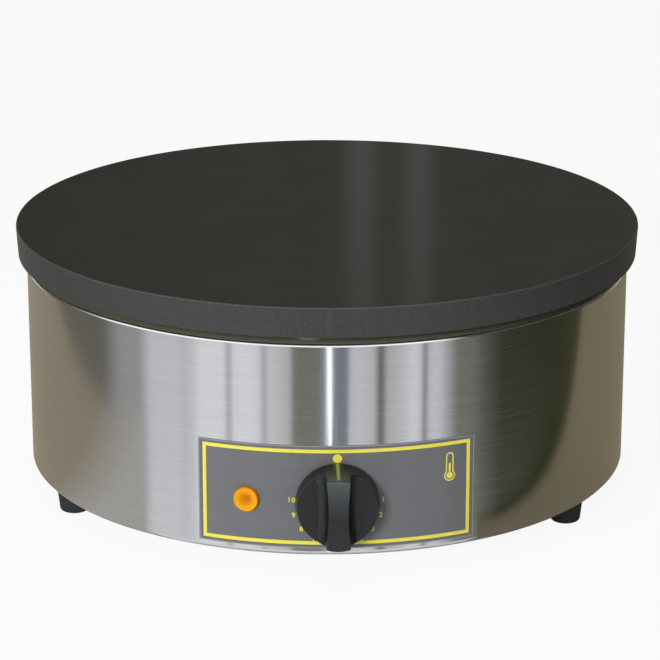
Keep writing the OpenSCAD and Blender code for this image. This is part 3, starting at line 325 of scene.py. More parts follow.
cover_screw_d, cover_screw_l, cover_screw_ring = 0.004, 0.008, 0.1825
cover_screw_turns = [114.85 + 60 * i for i in range(6)]
recess_turn = 0.9  # how far each recess ends up turned from the last, in radians
cover_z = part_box("bottom_cover")[0].z
screw = pan_screw("cover_screw", cover_screw_d, cover_screw_l)
screws = [
    copied(screw, f"cover_screw_{i}", polar(cover_screw_ring, turn, cover_z), recess_turn * i)
    for i, turn in enumerate(cover_screw_turns)
]
bpy.data.objects.remove(screw)
finished(joined("cover_screw_heads", screws), zinc_screw, "fastener_steel", "base", "cover_screws")

foot_screw_d = 0.005
foot_screw_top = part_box("foot_screws")[1].z
screw = pan_screw("foot_screw", foot_screw_d, foot_screw_top - pocket_h)
screws = [  # each recess ends up at an angle of its own
    copied(screw, f"screw_of_{name}", polar(foot_ring, turn, pocket_h), turn)
    for name, turn in foot_turns.items()
]
bpy.data.objects.remove(screw)
finished(joined("foot_screw_heads", screws), zinc_screw, "fastener_steel", "base", "foot_screws")
dress(zinc_screw, "foot_washers", "foot_nuts")


# ---- wiring ----
# A porcelain terminal block with brass inserts, the earth screw beside it, and silicone leads
# tied round the inside of the body. The cover hides them.

porcelain = mottled("porcelain", "f2eee2", "e6e0d0", 0.0015, 0.25, 0.00001)[0]
brass = mottled("brass", "c8a964", "a8883f", 0.0005, 0.33, 0.00001, metallic=0.95)[0]
dress(porcelain, "terminal_block")
dress(brass, "terminal_inserts")
dress(zinc_screw, "terminal_screws", "block_screws", "earth_screw", "earth_nut")
for name, pale, dark in (
    ("lead_live", "613620", "4b2817"),
    ("leads_switched", "26262a", "1a1a1d"),
    ("leads_neutral", "33589f", "244680"),
    ("lead_earth", "8fa33a", "6f8a2c"),
):
    dress(mottled(name + "_sleeve", pale, dark, 0.0006, 0.4, 0.00002)[0], name)


# ---- body ----
# One sheet of stainless steel, rolled and welded into a drum, with both ends turned in as
# flanges. It is brushed round the drum, so the grain lies level and blurs what it mirrors
# upwards and downwards only.

drum_low, drum_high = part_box("drum_shell")
drum_r, drum_h = 0.1935, drum_high.z - drum_low.z
sheet, bend = 0.001, 0.002
top_flange, bottom_flange = 0.0285, 0.020
wall_sides = 256
slack = 1e-5  # how far off a height its faces and edges may be


def pick(piece, kind, test):
    """Selects the faces or edges of a piece in edit mode whose middle passes a test."""
    mesh = bmesh.from_edit_mesh(piece.data)
    bpy.ops.mesh.select_mode(type=kind)
    bpy.ops.mesh.select_all(action="DESELECT")
    for part in mesh.faces if kind == "FACE" else mesh.edges:
        middle = sum((v.co for v in part.verts), Vector()) / len(part.verts)
        part.select_set(test(middle))
    mesh.select_flush_mode()
    bmesh.update_edit_mesh(piece.data)


def on_axis(height):
    """Test for the end face at a height."""
    return lambda p: abs(p.z - height) < slack and p.xy.length < 0.01


bpy.ops.object.select_all(action="DESELECT")
bpy.ops.mesh.primitive_cylinder_add(vertices=wall_sides, radius=drum_r, depth=drum_h)
drum = bpy.context.object
drum.name = drum.data.name = "brushed_body"
place(drum, (0, 0, drum_low.z + drum_h / 2))
bpy.ops.object.mode_set(mode="EDIT")
for height, flange in ((drum_high.z, top_flange), (drum_low.z, bottom_flange)):
    pick(drum, "EDGE", lambda p: abs(p.z - height) < slack and p.xy.length > drum_r / 2)
    bpy.ops.mesh.bevel(offset=bend, segments=10, affect="EDGES")
    pick(drum, "FACE", on_axis(height))
    bpy.ops.mesh.inset(thickness=flange - bend)
    bpy.ops.mesh.delete(type="FACE")
bpy.ops.object.mode_set(mode="OBJECT")
apply(drum, "SOLIDIFY", thickness=sheet, offset=-1)

dial_z, pilot_z, gland_z = 0.0482, 0.0488, 0.040
pilot_turn = math.radians(-16.17)
front = (math.radians(90), 0, 0)
pilot_front = (math.radians(90), 0, pilot_turn)


def at_wall(radius, turn, height):
    """A point at a distance from the axis, turned round from the front of the body."""
    return radius * math.sin(turn), -radius * math.cos(turn), height


bolt_hole_d, bolt_ring, bolt_turns = 0.0085, 0.17604, [144.85 + 120 * i for i in range(3)]
spindle_hole_d, pilot_hole_d, gland_hole_d = 0.0105, 0.0129, 0.0205
plate_hole_d, plate_hole_x, cover_hole_d = 0.0045, 0.014, 0.0042
wall_cut, flange_cut = 0.02, 0.01  # lengths of the bars that cut the holes
holes = [
    rod(spindle_hole_d, wall_cut, at_wall(drum_r, 0, dial_z), front),
    rod(pilot_hole_d, wall_cut, at_wall(drum_r, pilot_turn, pilot_z), pilot_front),
    rod(gland_hole_d, wall_cut, at_wall(drum_r, math.pi, gland_z), front),
]
for x in (-plate_hole_x, plate_hole_x):
    holes.append(rod(plate_hole_d, wall_cut, (x, -drum_r, dial_z), front, 24))
for turn in bolt_turns:
    holes.append(rod(bolt_hole_d, flange_cut, polar(bolt_ring, turn, drum_high.z), sides=32))
for turn in foot_turns.values():
    holes.append(rod(foot_screw_hole_d, flange_cut, polar(foot_ring, turn, drum_low.z), sides=24))
for turn in cover_screw_turns:
    holes.append(rod(cover_hole_d, flange_cut, polar(cover_screw_ring, turn, drum_low.z), sides=24))
cut(drum, holes)
soften(drum)


def split(tree, vector):
    """The X, Y and Z of a node's output, by name."""
    node = tree.nodes.new("ShaderNodeSeparateXYZ")
    tree.links.new(vector, node.inputs["Vector"])
    return node.outputs


def worked(tree, operation, *values):
    """A number worked out from others, each a number or the output of a node."""
    node = tree.nodes.new("ShaderNodeMath")
    node.operation = operation
    for value, socket in zip(values, node.inputs):
        feed(tree, value, socket)
    return node.outputs[0]


steel, tree, shader = new_finish("brushed_steel", 0.13, metallic=1.0)
scratch = grain(tree, 0.0006, (80, 80, 1))
haze, haze_share = grain(tree, 0.0025, (400, 400, 1), detail=1.0), 0.12
tint = blend(tree, spread(tree, scratch, 0, 1), shade("d0d0d0"), shade("d6d6d6"))
tint = blend(tree, spread(tree, haze, 0, haze_share), tint, shade("c2c2c1"))
# The top flange keeps the duller finish that the sheet came with.
surface = tree.nodes.new("ShaderNodeNewGeometry").outputs
flange_share = spread(tree, split(tree, surface["Normal"])["Z"], 0, 1, 0.93, 0.99)
flange_rough = 0.4  # how much rougher the flange is
tree.links.new(blend(tree, flange_share, tint, shade("a29e8c")), shader.inputs["Base Color"])
tree.links.new(spread(tree, flange_share, 1, 0.25, 0, 1), shader.inputs["Metallic"])
brushed = spread(tree, scratch, 0.115, 0.14)
rough = worked(tree, "MULTIPLY_ADD", flange_share, flange_rough, brushed)
tree.links.new(rough, shader.inputs["Roughness"])
shader.inputs["Anisotropic"].default_value = 0.85
shader.inputs["Anisotropic Rotation"].default_value = 0.25
tangent = tree.nodes.new("ShaderNodeTangent")
tangent.direction_type = "RADIAL"
tangent.axis = "Z"
tree.links.new(tangent.outputs["Tangent"], shader.inputs["Tangent"])
roughen(tree, shader, scratch, 0.000002, 0.5)
finished(drum, steel, "brushed_steel", "base", "drum_shell")


# ---- control label ----
# A sheet of polyester film glued round the front of the body, with a printed border, a row
# of plain numbers round the knob and a thermometer. The ink lies on the film.

label_low, label_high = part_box("control_label")
label_r, label_w, label_h, label_t = 0.1940, 0.1706, label_high.z - label_low.z, 0.0004
label_middle = (label_low.z + label_high.z) / 2
knob_hole_d = 0.038
pane_w = 0.0015  # upright panes that let a flat sheet be rolled


def pane(name, width, height, middle):
    """A flat upright sheet that faces -Y, in narrow panes."""
    bpy.ops.object.select_all(action="DESELECT")
    bpy.ops.mesh.primitive_grid_add(x_subdivisions=round(width / pane_w), y_subdivisions=1, size=1)
    piece = bpy.context.object
    piece.name = piece.data.name = name
    piece.scale = (width, height, 1)
    place(piece, middle, front)
    return piece


def rolled(piece, radius, thickness):
    """Gives a flat sheet its thickness and rolls it round the front of the body."""
    apply(piece, "SOLIDIFY", thickness=thickness, offset=1)
    for vertex in piece.data.vertices:
        x, y, z = vertex.co
        vertex.co = at_wall(radius - y, x / radius, z)
    return piece


film = pane("label_film", label_w, label_h, (0, 0, label_middle))
film = rolled(film, label_r - label_t, label_t)
cut(film, [rod(knob_hole_d, wall_cut, at_wall(label_r, 0, dial_z), front, 64)])
cut(film, [rod(pilot_hole_d, wall_cut, at_wall(label_r, pilot_turn, pilot_z), pilot_front)])
soften(film)
film_grey, _, shader = mottled("label_grey", "737578", "6f7174", 0.0009, 0.22, 0.000003)
shader.inputs["Specular IOR Level"].default_value = 0.4
finished(film, film_grey, "label_grey", "base", "control_label")

border_w, border_h, line = 0.165, 0.0604, 0.0022
dial_ring, dial_first, dial_pitch = 0.0275, 88.0, 20.5
digit_h, digit_share, digit_space, digit_bold = 0.003, 0.69, 1.2, 0.00014
dot_d, dot_ring = 0.0055, 0.0279
bulb, stem, glass_h, glass_line = 0.0036, 0.0025, 0.0147, 0.0008
column_bulb, column_stem, column_h = 0.57 * bulb, 0.25 * stem, 0.0080
bulb_x, bulb_z = 0.0691, label_low.z + 0.0413
ink_t = 0.00006


def outline(name, points, middle):
    """A flat face that faces -Y, with this outline in X and Z."""
    mesh = bpy.data.meshes.new(name)
    mesh.from_pydata([(x, 0, z) for x, z in points], [], [range(len(points))])
    piece = bpy.data.objects.new(name, mesh)
    bpy.context.collection.objects.link(piece)
    place(piece, middle)
    return piece


def thermometer(bulb, stem, height):
    """Outline of a thermometer whose bulb is round the origin."""
    neck = math.degrees(math.asin(stem / bulb))
    return arc(0, 0, bulb, 90 + neck, 450 - neck, 24) + arc(0, height - stem, stem, 0, 180, 8)


def hollowed(piece, width):
    """Leaves a line of this width round the edge of a flat piece."""
    alone(piece)
    bpy.ops.object.mode_set(mode="EDIT")
    bpy.ops.mesh.select_mode(type="FACE")
    bpy.ops.mesh.select_all(action="SELECT")
    bpy.ops.mesh.inset(thickness=width)
    bpy.ops.mesh.delete(type="FACE")
    bpy.ops.object.mode_set(mode="OBJECT")
    return piece


def digits(text, middle):
    """A printed number, as tall as the dial's numbers."""
    bpy.ops.object.select_all(action="DESELECT")
    bpy.ops.object.text_add()
    piece = bpy.context.object
    piece.data.body = text
    piece.data.align_x, piece.data.align_y = "CENTER", "CENTER"
    piece.data.size = digit_h / digit_share  # figures fill this share of the letter size
    piece.data.space_character = digit_space
    piece.data.offset = digit_bold
    bpy.ops.object.convert(target="MESH")
    place(piece, middle, front)
    return piece


def on_dial(ring, degrees):
    """A point round the knob's axis on the flat label, in degrees from the top."""
    turn = math.radians(degrees)
    return ring * math.sin(turn), 0, dial_z + ring * math.cos(turn)


ink = [
    hollowed(pane("border", border_w, border_h, (0, 0, label_middle)), line),
    outline("dot", arc(0, 0, dot_d / 2, 0, 350, 35), on_dial(dot_ring, 0)),
    hollowed(outline("glass", thermometer(bulb, stem, glass_h), (bulb_x, 0, bulb_z)), glass_line),
    outline("column", thermometer(column_bulb, column_stem, column_h), (bulb_x, 0, bulb_z)),
]
ink += [digits(str(i + 1), on_dial(dial_ring, dial_first + dial_pitch * i)) for i in range(10)]
ink = rolled(joined("label_print", ink), label_r - ink_t / 2, ink_t)
yellow = mottled("yellow_ink", "fff25a", "fbea4c", 0.0007, 0.4, 0.000004)[0]
finished(ink, yellow, "label_grey", "base")

glint_margin = 0.0006  # the film's clear edge round its grey print, painted pale as a glint
# A painted glint: the film's cut edge is coloured paler than the label.
edge_glint = hollowed(pane("label_edge_glint", label_w, label_h, (0, 0, label_middle)), glint_margin)
edge_glint = rolled(edge_glint, label_r - ink_t / 2, ink_t)
finished(edge_glint, mottled("clear_film_glint", "9fa1a2", "959798", 0.0007, 0.25)[0], "label_grey", "base")


# ---- thermostat ----
# A capillary thermostat on a steel plate behind the label. Its bulb is strapped under the
# plate of the griddle, and the capillary comes down round the edge of the insulation.

black_plastic = mottled("black_plastic", "34363a", "282a2d", 0.0005, 0.45, 0.00002)[0]
copper = mottled("copper", "c08058", "9a5f42", 0.0008, 0.38, 0.00001, metallic=0.95)[0]
dress(zinc_sheet, "thermostat_saddle", "thermostat_plate", "bulb_clip")
dress(black_plastic, "thermostat_body")
dress(brass, "thermostat_terminals")
dress(copper, "thermostat_capillary", "thermostat_bulb")
dress(zinc_screw, "thermostat_screws", "bulb_clip_screw")


# ---- knob ----
# One moulding of black thermoset: a leaning skirt, two dished finger faces and a waisted
# grip between them. A green line is let into its side, and a leaf spring holds it on the
# flat of the thermostat's spindle.

knob_low, knob_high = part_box("control_knob")
knob_r, knob_h = -knob_high.y, knob_high.y - knob_low.y
knob_d, draft = 0.0508, math.radians(7.5)
skirt_h, dish, grip_w, grip_side_r, grip_fillet = 0.010, 0.001, 0.012, 0.170, 0.007
edge, crown, scoop_w = 0.0008, 0.0016, 0.026
pointer_w, pointer_t, pointer_end, pointer_edge, pointer_sunk = 0.002, 0.0006, 0.0003, 0.0002, 0.0002
knob_grain = 0.0003  # size of the cells that the moulding is rebuilt in


def knob_side(height):
    """Radius of the knob's leaning side at a height above its base."""
    return knob_d / 2 - height * math.tan(draft)


rim_h = knob_h - crown - edge
crown_r = (knob_side(knob_h) ** 2 + crown**2) / 2 / crown
crown_half = math.degrees(math.asin((knob_side(knob_h) - edge) / crown_r))
knob = turned(
    "knob",
    [(knob_d / 2, 0)]
    + arc(knob_side(rim_h) - edge, rim_h, edge, math.degrees(draft), 80)
    + arc(0, knob_h - crown_r, crown_r, 90 - crown_half, 89, 8),
    sides=192,
)
scoop_r = grip_side_r - scoop_w
scoop = turned(
    "scoop",
    [(scoop_r, skirt_h)]
    + arc(grip_side_r - grip_fillet, skirt_h - dish + grip_fillet, grip_fillet, -90, 0, 10)
    + [(grip_side_r, knob_h + dish), (scoop_r, knob_h + dish), (scoop_r, skirt_h)],
    sides=360,
)
for side in (-1, 1):
    cut(knob, [copied(scoop, "cutter", (side * (grip_side_r + grip_w / 2), 0, 0))])
bpy.data.objects.remove(scoop)
apply(knob, "REMESH", mode="VOXEL", voxel_size=knob_grain)
apply(knob, "SMOOTH", factor=0.5, iterations=5)
alone(knob)
bpy.ops.object.shade_smooth()

pointer_l = rim_h - pointer_end
bpy.ops.object.select_all(action="DESELECT")
bpy.ops.mesh.primitive_cube_add(size=1, scale=(pointer_w, pointer_t, pointer_l))
pointer = bpy.context.object
pointer.name = pointer.data.name = "pointer_line"
place(pointer, (0, knob_side(pointer_l / 2) - pointer_t / 2, pointer_l / 2), (draft, 0, 0))
cut(knob, [copied(pointer, "groove", (0, pointer_sunk, 0))])
apply(pointer, "BEVEL", width=pointer_edge, segments=2)
soften(pointer)
for piece in (knob, pointer):
    place(piece, (0, -knob_r, dial_z), front)

# The moulding is painted paler at its edges and on the grip's face towards the pointer's end: painted
# highlights.
knob_plastic, tree, shader = mottled("knob_black", "171a1b", "121516", 0.0004, 0.3, 0.00002)
surface = tree.nodes.new("ShaderNodeNewGeometry").outputs
spot = split(tree, tree.nodes.new("ShaderNodeTexCoord").outputs["Object"])
grip_front, highlight_depth = -knob_r - rim_h, 0.003
highlight_low, highlight_high = dial_z - 0.002, dial_z + 0.024
out_front = spread(tree, spot["Y"], 1, 0, grip_front, grip_front + highlight_depth)
faces_front = spread(tree, split(tree, surface["Normal"])["Y"], 1, 0, -0.97, -0.8)
upper_end = spread(tree, spot["Z"], 0, 1, highlight_low, highlight_high)
painted_grip_highlight = worked(tree, "MULTIPLY", worked(tree, "MULTIPLY", out_front, faces_front), upper_end)
painted_edge_highlight = spread(tree, surface["Pointiness"], 0, 1, 0.53, 0.6)
moulded = shader.inputs["Base Color"].links[0].from_socket
tint = blend(tree, painted_grip_highlight, moulded, shade("505558"))
tint = blend(tree, painted_edge_highlight, tint, shade("5a5f62"))
tree.links.new(tint, shader.inputs["Base Color"])
pointer_green = mottled("pointer_green", "86a043", "7a9338", 0.0005, 0.45, 0.00001)[0]
finished(knob, knob_plastic, "knob_black", "knob", "control_knob")
finished(pointer, pointer_green, "pointer_green", "knob", "knob_pointer")
dress(zinc_screw, "thermostat_spindle", "knob_spring")


# ---- pilot lamp ----
# A neon lamp in a black housing that is pushed through the body and gripped by a spring
# ring. Its amber lens has a raised rim round a dished face, cut into small facets inside.

lens_d, lens_h, lens_edge, pole_r = 0.0155, 0.0028, 0.0009, 0.0003
stem_r, stem_l, stem_wall, lens_back = 0.0055, 0.007, 0.0008, -0.001
face_r, face_h = lens_d / 2 - 2 * lens_edge, lens_h - 0.0016
face_rises = ((0.35, 0.00015), (0.7, 0.0006), (1, 0.00125))  # the dish, by share of its radius
lens = turned(
    "amber_lens",
    [(pole_r, face_h)]
    + [(share * face_r, face_h + rise) for share, rise in face_rises]
    + arc(lens_d / 2 - lens_edge, lens_h - lens_edge, lens_edge, 90, 0)
    + [(lens_d / 2, 0), (stem_r, 0), (stem_r, -stem_l), (stem_r - stem_wall, -stem_l)]
    + [(stem_r - stem_wall, lens_back), (pole_r, lens_back)],
    sides=96,
)
soften(lens, 40)
place(lens, at_wall(label_r, pilot_turn, pilot_z), pilot_front)
amber, tree, shader = new_finish("lens_amber", 0.16)
where = tree.nodes.new("ShaderNodeTexCoord")
from_middle = tree.nodes.new("ShaderNodeVectorMath")
from_middle.operation = "DISTANCE"
from_middle.inputs[1].default_value = at_wall(label_r + face_h, pilot_turn, pilot_z)
tree.links.new(where.outputs["Object"], from_middle.inputs[0])
away = from_middle.outputs["Value"]
facets = grain(tree, 0.003, detail=0.0)
deep = blend(tree, spread(tree, facets, 0, 1, 0.35, 0.65), shade("c06000"), shade("e28000"))
# The face is painted paler in a ring round its dish, a painted glow of light through the rim, and
# darker in its middle and on its side wall.
tint = blend(tree, spread(tree, away, 0, 1, 0.3 * face_r, 0.9 * face_r), deep, shade("ffae00"))
wall_share = spread(tree, away, 0, 1, 0.9 * lens_d / 2, 1.03 * lens_d / 2)
tint = blend(tree, wall_share, tint, shade("dc7400"))
tree.links.new(tint, shader.inputs["Base Color"])
roughen(tree, shader, facets, 0.0001, 0.25)
shader.inputs["Specular IOR Level"].default_value = 0.1
shader.inputs["Coat Weight"].default_value = 0.15
shader.inputs["Coat Roughness"].default_value = 0.05
finished(lens, amber, "lens_amber", "base", "pilot_lens")
neon, tree, shader = mottled("neon_glass", "ffe6cf", "f5d3b4", 0.001, 0.1)
shader.inputs["Transmission Weight"].default_value = 0.6
dress(neon, "pilot_neon")
dress(black_plastic, "pilot_housing")
dress(zinc_screw, "pilot_clip", "pilot_terminals")


# ---- cable gland ----
# A moulded gland at the rear: a rubber washer that seals on the body, a hexagonal body
# with its locknut inside, a rubber seal, and a domed nut that would close on a cable.

gland_af = 0.024
gland_corner = gland_af / math.cos(math.radians(30))
gland_end, neck_end, thread_end = drum_r + 0.025, drum_r + 0.014, drum_r - 0.008
washer_r, washer_in, washer_out, washer_edge = 0.01025, 0.0008, 0.0015, 0.0004
thread_r, bore_r, flange_t = 0.010, 0.0055, 0.005
seal_r, seal_l, seal_hole_r, seal_mouth_r, seal_lip = 0.0074, 0.009, 0.0045, 0.0053, 0.0008
pocket_r, nut_r, nut_gap, past = 0.0075, 0.0101, 0.0005, 0.001
dome_l, dome_in, core_r = 0.009, 0.0002, 0.002
mouth_d, mouth_wall, mouth_edge = 0.013, 0.0015, 0.0005
shoulder = gland_af / 2 - mouth_d / 2 - mouth_wall


def hexagon(length, start):
    """A hexagonal bar with rounded corners, from a height up."""
    stock = rod(gland_corner, length, (0, 0, 0), sides=6)
    place(stock, (0, 0, start + length / 2), (0, 0, math.radians(30)))
    apply(stock, "BEVEL", width=0.0005, segments=3)
    return stock


def bore(radius, start, end):
    """A bar along the axis of the gland, from one height to another."""
    return rod(2 * radius, end - start, (0, 0, (start + end) / 2), sides=64)


def at_rear(piece, name):
    """Turns a piece of the gland to the rear of the body."""
    piece.name = piece.data.name = name
    soften(piece)
    place(piece, (0, 0, gland_z), (math.radians(-90), 0, 0))
    return piece


washer = turned(
    "washer",
    [(washer_r, drum_r - washer_in), (gland_af / 2, drum_r - washer_in)]
    + arc(gland_af / 2 - washer_edge, drum_r + washer_out - washer_edge, washer_edge, 0, 90, 3)
    + [(washer_r, drum_r + washer_out), (washer_r, drum_r - washer_in)],
    sides=64,
)
body = hexagon(flange_t, drum_r + washer_out)
cut(body, [bore(thread_r, thread_end, neck_end)], "UNION")
cut(body, [bore(bore_r, thread_end - 2 * past, neck_end + past)])
cut(body, [bore(pocket_r, neck_end - seal_l, neck_end + past)])
nut_z = drum_r + washer_out + flange_t + nut_gap
dome_z = gland_end - dome_l
nut = hexagon(dome_z - nut_z, nut_z)
mouth_r = mouth_d / 2 + mouth_wall
dome = turned(
    "dome",
    [(core_r, dome_z - past), (gland_af / 2 - dome_in, dome_z - past)]
    + arc(gland_af / 2 - shoulder, dome_z, shoulder - dome_in, 0, 90, 8)
    + [(mouth_r, gland_end - mouth_edge), (mouth_r - mouth_edge, gland_end), (core_r, gland_end)],
    sides=64,
)
cut(nut, [dome], "UNION")
cut(nut, [bore(nut_r, nut_z - past, neck_end + nut_gap)])
cut(nut, [bore(mouth_d / 2, nut_z, gland_end + past)])
seal_z = neck_end - seal_l
seal = turned(
    "seal",
    [(seal_hole_r, seal_z), (seal_r, seal_z), (seal_r, neck_end), (seal_mouth_r, neck_end)]
    + [(seal_hole_r, neck_end - seal_lip), (seal_hole_r, seal_z)],
    sides=48,
)
gland_plastic = mottled("gland_plastic", "3b3e42", "2f3235", 0.0005, 0.48, 0.00002)[0]
finished(at_rear(washer, "gland_washer_rubber"), rubber, "rubber_black", "base", "gland_washer")
finished(at_rear(body, "gland_hexagon"), gland_plastic, "plastic_black", "base", "gland_body")
finished(at_rear(nut, "gland_dome"), gland_plastic, "plastic_black", "base", "gland_dome_nut")
finished(at_rear(seal, "gland_seal_rubber"), rubber, "rubber_black", "base", "gland_seal")
dress(gland_plastic, "gland_locknut")


# ---- elements and insulation ----
# Two hairpins of sheathed element pressed to the plate by channel bars, over a disc of
# mineral wool in a sheet tray. All of it is inside the body.

sheath = mottled("element_sheath", "6b5f55", "4c423b", 0.001, 0.5, 0.00002, metallic=0.8)[0]
wool = mottled("mineral_wool", "d8cfa9", "b9ad85", 0.0012, 0.95, 0.0003, stretch=(3, 3, 1))[0]
dress(sheath, "heating_element_outer", "heating_element_inner")
dress(porcelain, "element_beads")
dress(mottled("steatite", "a39d8a", "8f8a78", 0.001, 0.55, 0.00002)[0], "plate_spacers")
dress(wool, "insulation_disc")
dress(zinc_sheet, "insulation_tray", "clamp_bars", "tray_spacers")
dress(zinc_screw, "element_terminals", "clamp_studs", "clamp_nuts", "tray_washers", "tray_nuts")
dress(zinc_screw, "plate_washers", "plate_bolts")


# ---- griddle plate ----
# A thick disc of cast iron with a rim that hangs over the body and three bosses below. Its
# top is ground and seasoned nearly black, and its side keeps the skin of the casting.

plate_low, plate_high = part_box("griddle_plate")
plate_z = 0.1525
plate_r, plate_h = 0.2, plate_high.z - plate_z
deck_t, rim_w, top_edge, lower_edge, rim_fillet = 0.012, 0.012, 0.0012, 0.0006, 0.004
boss_d, boss_hole_d, thread_l = 0.016, 0.0082, 0.009
stud_hole_d, stud_depth, stud_ring, clip_hole_d = 0.0062, 0.008, 0.1127, 0.0042
stud_turns = (270, 390, 510)
weld = 0.001  # how far bosses and webs reach into the disc
lean = math.tan(math.radians(3.5))
rim_r = plate_r - plate_h * lean
boss_z, deck_z = plate_low.z, plate_high.z - deck_t

bpy.ops.object.select_all(action="DESELECT")
bpy.ops.mesh.primitive_cylinder_add(vertices=wall_sides, radius=rim_r, depth=plate_h)
plate = bpy.context.object
plate.name = plate.data.name = "cast_plate"
place(plate, (0, 0, plate_z + plate_h / 2))
bpy.ops.object.mode_set(mode="EDIT")
pick(plate, "FACE", on_axis(plate_high.z))
bpy.ops.transform.resize(value=(plate_r / rim_r, plate_r / rim_r, 1))
pick(plate, "FACE", on_axis(plate_z))
bpy.ops.mesh.inset(thickness=rim_w)
bpy.ops.transform.translate(value=(0, 0, deck_z - plate_z))
pick(plate, "EDGE", lambda p: abs(p.z - deck_z) < slack and p.xy.length > plate_r / 2)
bpy.ops.mesh.bevel(offset=rim_fillet, segments=5, affect="EDGES")
for height, edge in ((plate_high.z, top_edge), (plate_z, lower_edge)):
    pick(plate, "EDGE", lambda p: abs(p.z - height) < slack and p.xy.length > rim_r - 0.001)
    bpy.ops.mesh.bevel(offset=edge, segments=4, affect="EDGES")
bpy.ops.object.mode_set(mode="OBJECT")

boss_h = deck_z - boss_z + weld
web_l = rim_r - rim_w + weld - bolt_ring
web_ring = bolt_ring + web_l / 2
web_h = deck_z - plate_z - weld / 2
webs, bosses, holes = [], [], []
for turn, stud_turn in zip(bolt_turns, stud_turns):
    middle = polar(web_ring, turn, deck_z + weld / 2 - web_h / 2)
    webs.append(bar((web_l, boss_d / 2, web_h), middle, math.radians(turn)))
    bosses.append(rod(boss_d, boss_h, polar(bolt_ring, turn, boss_z + boss_h / 2)))
    holes.append(rod(boss_hole_d, 2 * thread_l, polar(bolt_ring, turn, boss_z), sides=32))
    holes.append(rod(stud_hole_d, 2 * stud_depth, polar(stud_ring, stud_turn, deck_z), sides=32))
clip_low, clip_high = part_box("bulb_clip_screw")
clip_middle = (clip_low + clip_high) / 2
holes.append(rod(clip_hole_d, 2 * stud_depth, (clip_middle.x, clip_middle.y, deck_z), sides=32))
cut(plate, webs, "UNION")
cut(plate, bosses, "UNION")
cut(plate, holes)
soften(plate)

iron, tree, shader = new_finish("cast_iron", 0.62)
shader.inputs["Specular IOR Level"].default_value = 0.1
shader.inputs["Coat Weight"].default_value = 0.15
shader.inputs["Coat Roughness"].default_value = 0.08
surface = tree.nodes.new("ShaderNodeNewGeometry").outputs
facing_up = split(tree, surface["Normal"])["Z"]
skin = blend(tree, spread(tree, grain(tree, 0.0012), 0, 1), shade("4a4b4a"), shade("3e3f3e"))
ground = blend(tree, spread(tree, grain(tree, 0.03), 0, 1), shade("383a35"), shade("33352f"))
turned_iron = blend(tree, spread(tree, grain(tree, 0.002), 0, 1), shade("b4b09c"), shade("a09c86"))
facing_down = spread(tree, facing_up, 1, 0, -0.95, -0.6)
tint = blend(tree, facing_down, skin, turned_iron)
tint = blend(tree, spread(tree, facing_up, 0, 1, 0.2, 0.5), tint, shade("525452"))
tint = blend(tree, spread(tree, facing_up, 0, 1, 0.95, 0.995), tint, ground)
tree.links.new(tint, shader.inputs["Base Color"])
tree.links.new(spread(tree, facing_down, 0, 0.75, 0, 1), shader.inputs["Metallic"])
tree.links.new(spread(tree, facing_down, 0.62, 0.38, 0, 1), shader.inputs["Roughness"])
roughen(tree, shader, grain(tree, 0.0009, detail=5.0), 0.00006, 0.7)
finished(plate, iron, "cast_iron", "base", "griddle_plate")


# ---- studio ----
# A plain white floor under soft light from the front and from above. What the metal mirrors
# is a pale room with windows, bars and dark corners, and the bench that the object is on.


def alone_in(piece, *kinds):
    """Lets an object of the studio show to these kinds of ray only."""
    for kind in ("camera", "diffuse", "glossy", "transmission", "volume_scatter", "shadow"):
        setattr(piece, "visible_" + kind, kind in kinds)


def seen(tree):
    """1 for what the camera sees, straight or through glass, and 0 for all other rays."""
    rays = tree.nodes.new("ShaderNodeLightPath").outputs
    return worked(tree, "MAXIMUM", rays["Is Camera Ray"], rays["Is Transmission Ray"])


def mixed(tree, share, first, second):
    """Two shaders, with this share of the second."""
    node = tree.nodes.new("ShaderNodeMixShader")
    for value, socket in zip((share, first, second), node.inputs):
        tree.links.new(value, socket)
    return node.outputs[0]


floor_size, floor_dull_share = 8.0, 0.08
bpy.ops.object.select_all(action="DESELECT")
bpy.ops.mesh.primitive_plane_add(size=floor_size)
floor = bpy.context.object
floor.name = "floor"
alone_in(floor, "camera", "diffuse", "transmission", "shadow")
floor_finish, tree, shader = new_finish("floor_paper", 0.9)
shader.inputs["Base Color"].default_value = shade("ffffff")
# The camera sees white, with a share of the dull paper left in it for the shadow.
white = tree.nodes.new("ShaderNodeEmission").outputs[0]
white_share = worked(tree, "MULTIPLY", seen(tree), 1 - floor_dull_share)
paper = mixed(tree, white_share, shader.outputs[0], white)
tree.links.new(paper, tree.nodes["Material Output"].inputs["Surface"])
floor.data.materials.append(floor_finish)


def turn_round(tree, vector):
    """Direction round the object from the front, to the right, in radians; and the height."""
    parts = split(tree, vector)
    forwards = worked(tree, "MULTIPLY", parts["Y"], -1)
    return worked(tree, "ARCTAN2", parts["X"], forwards), parts["Z"]


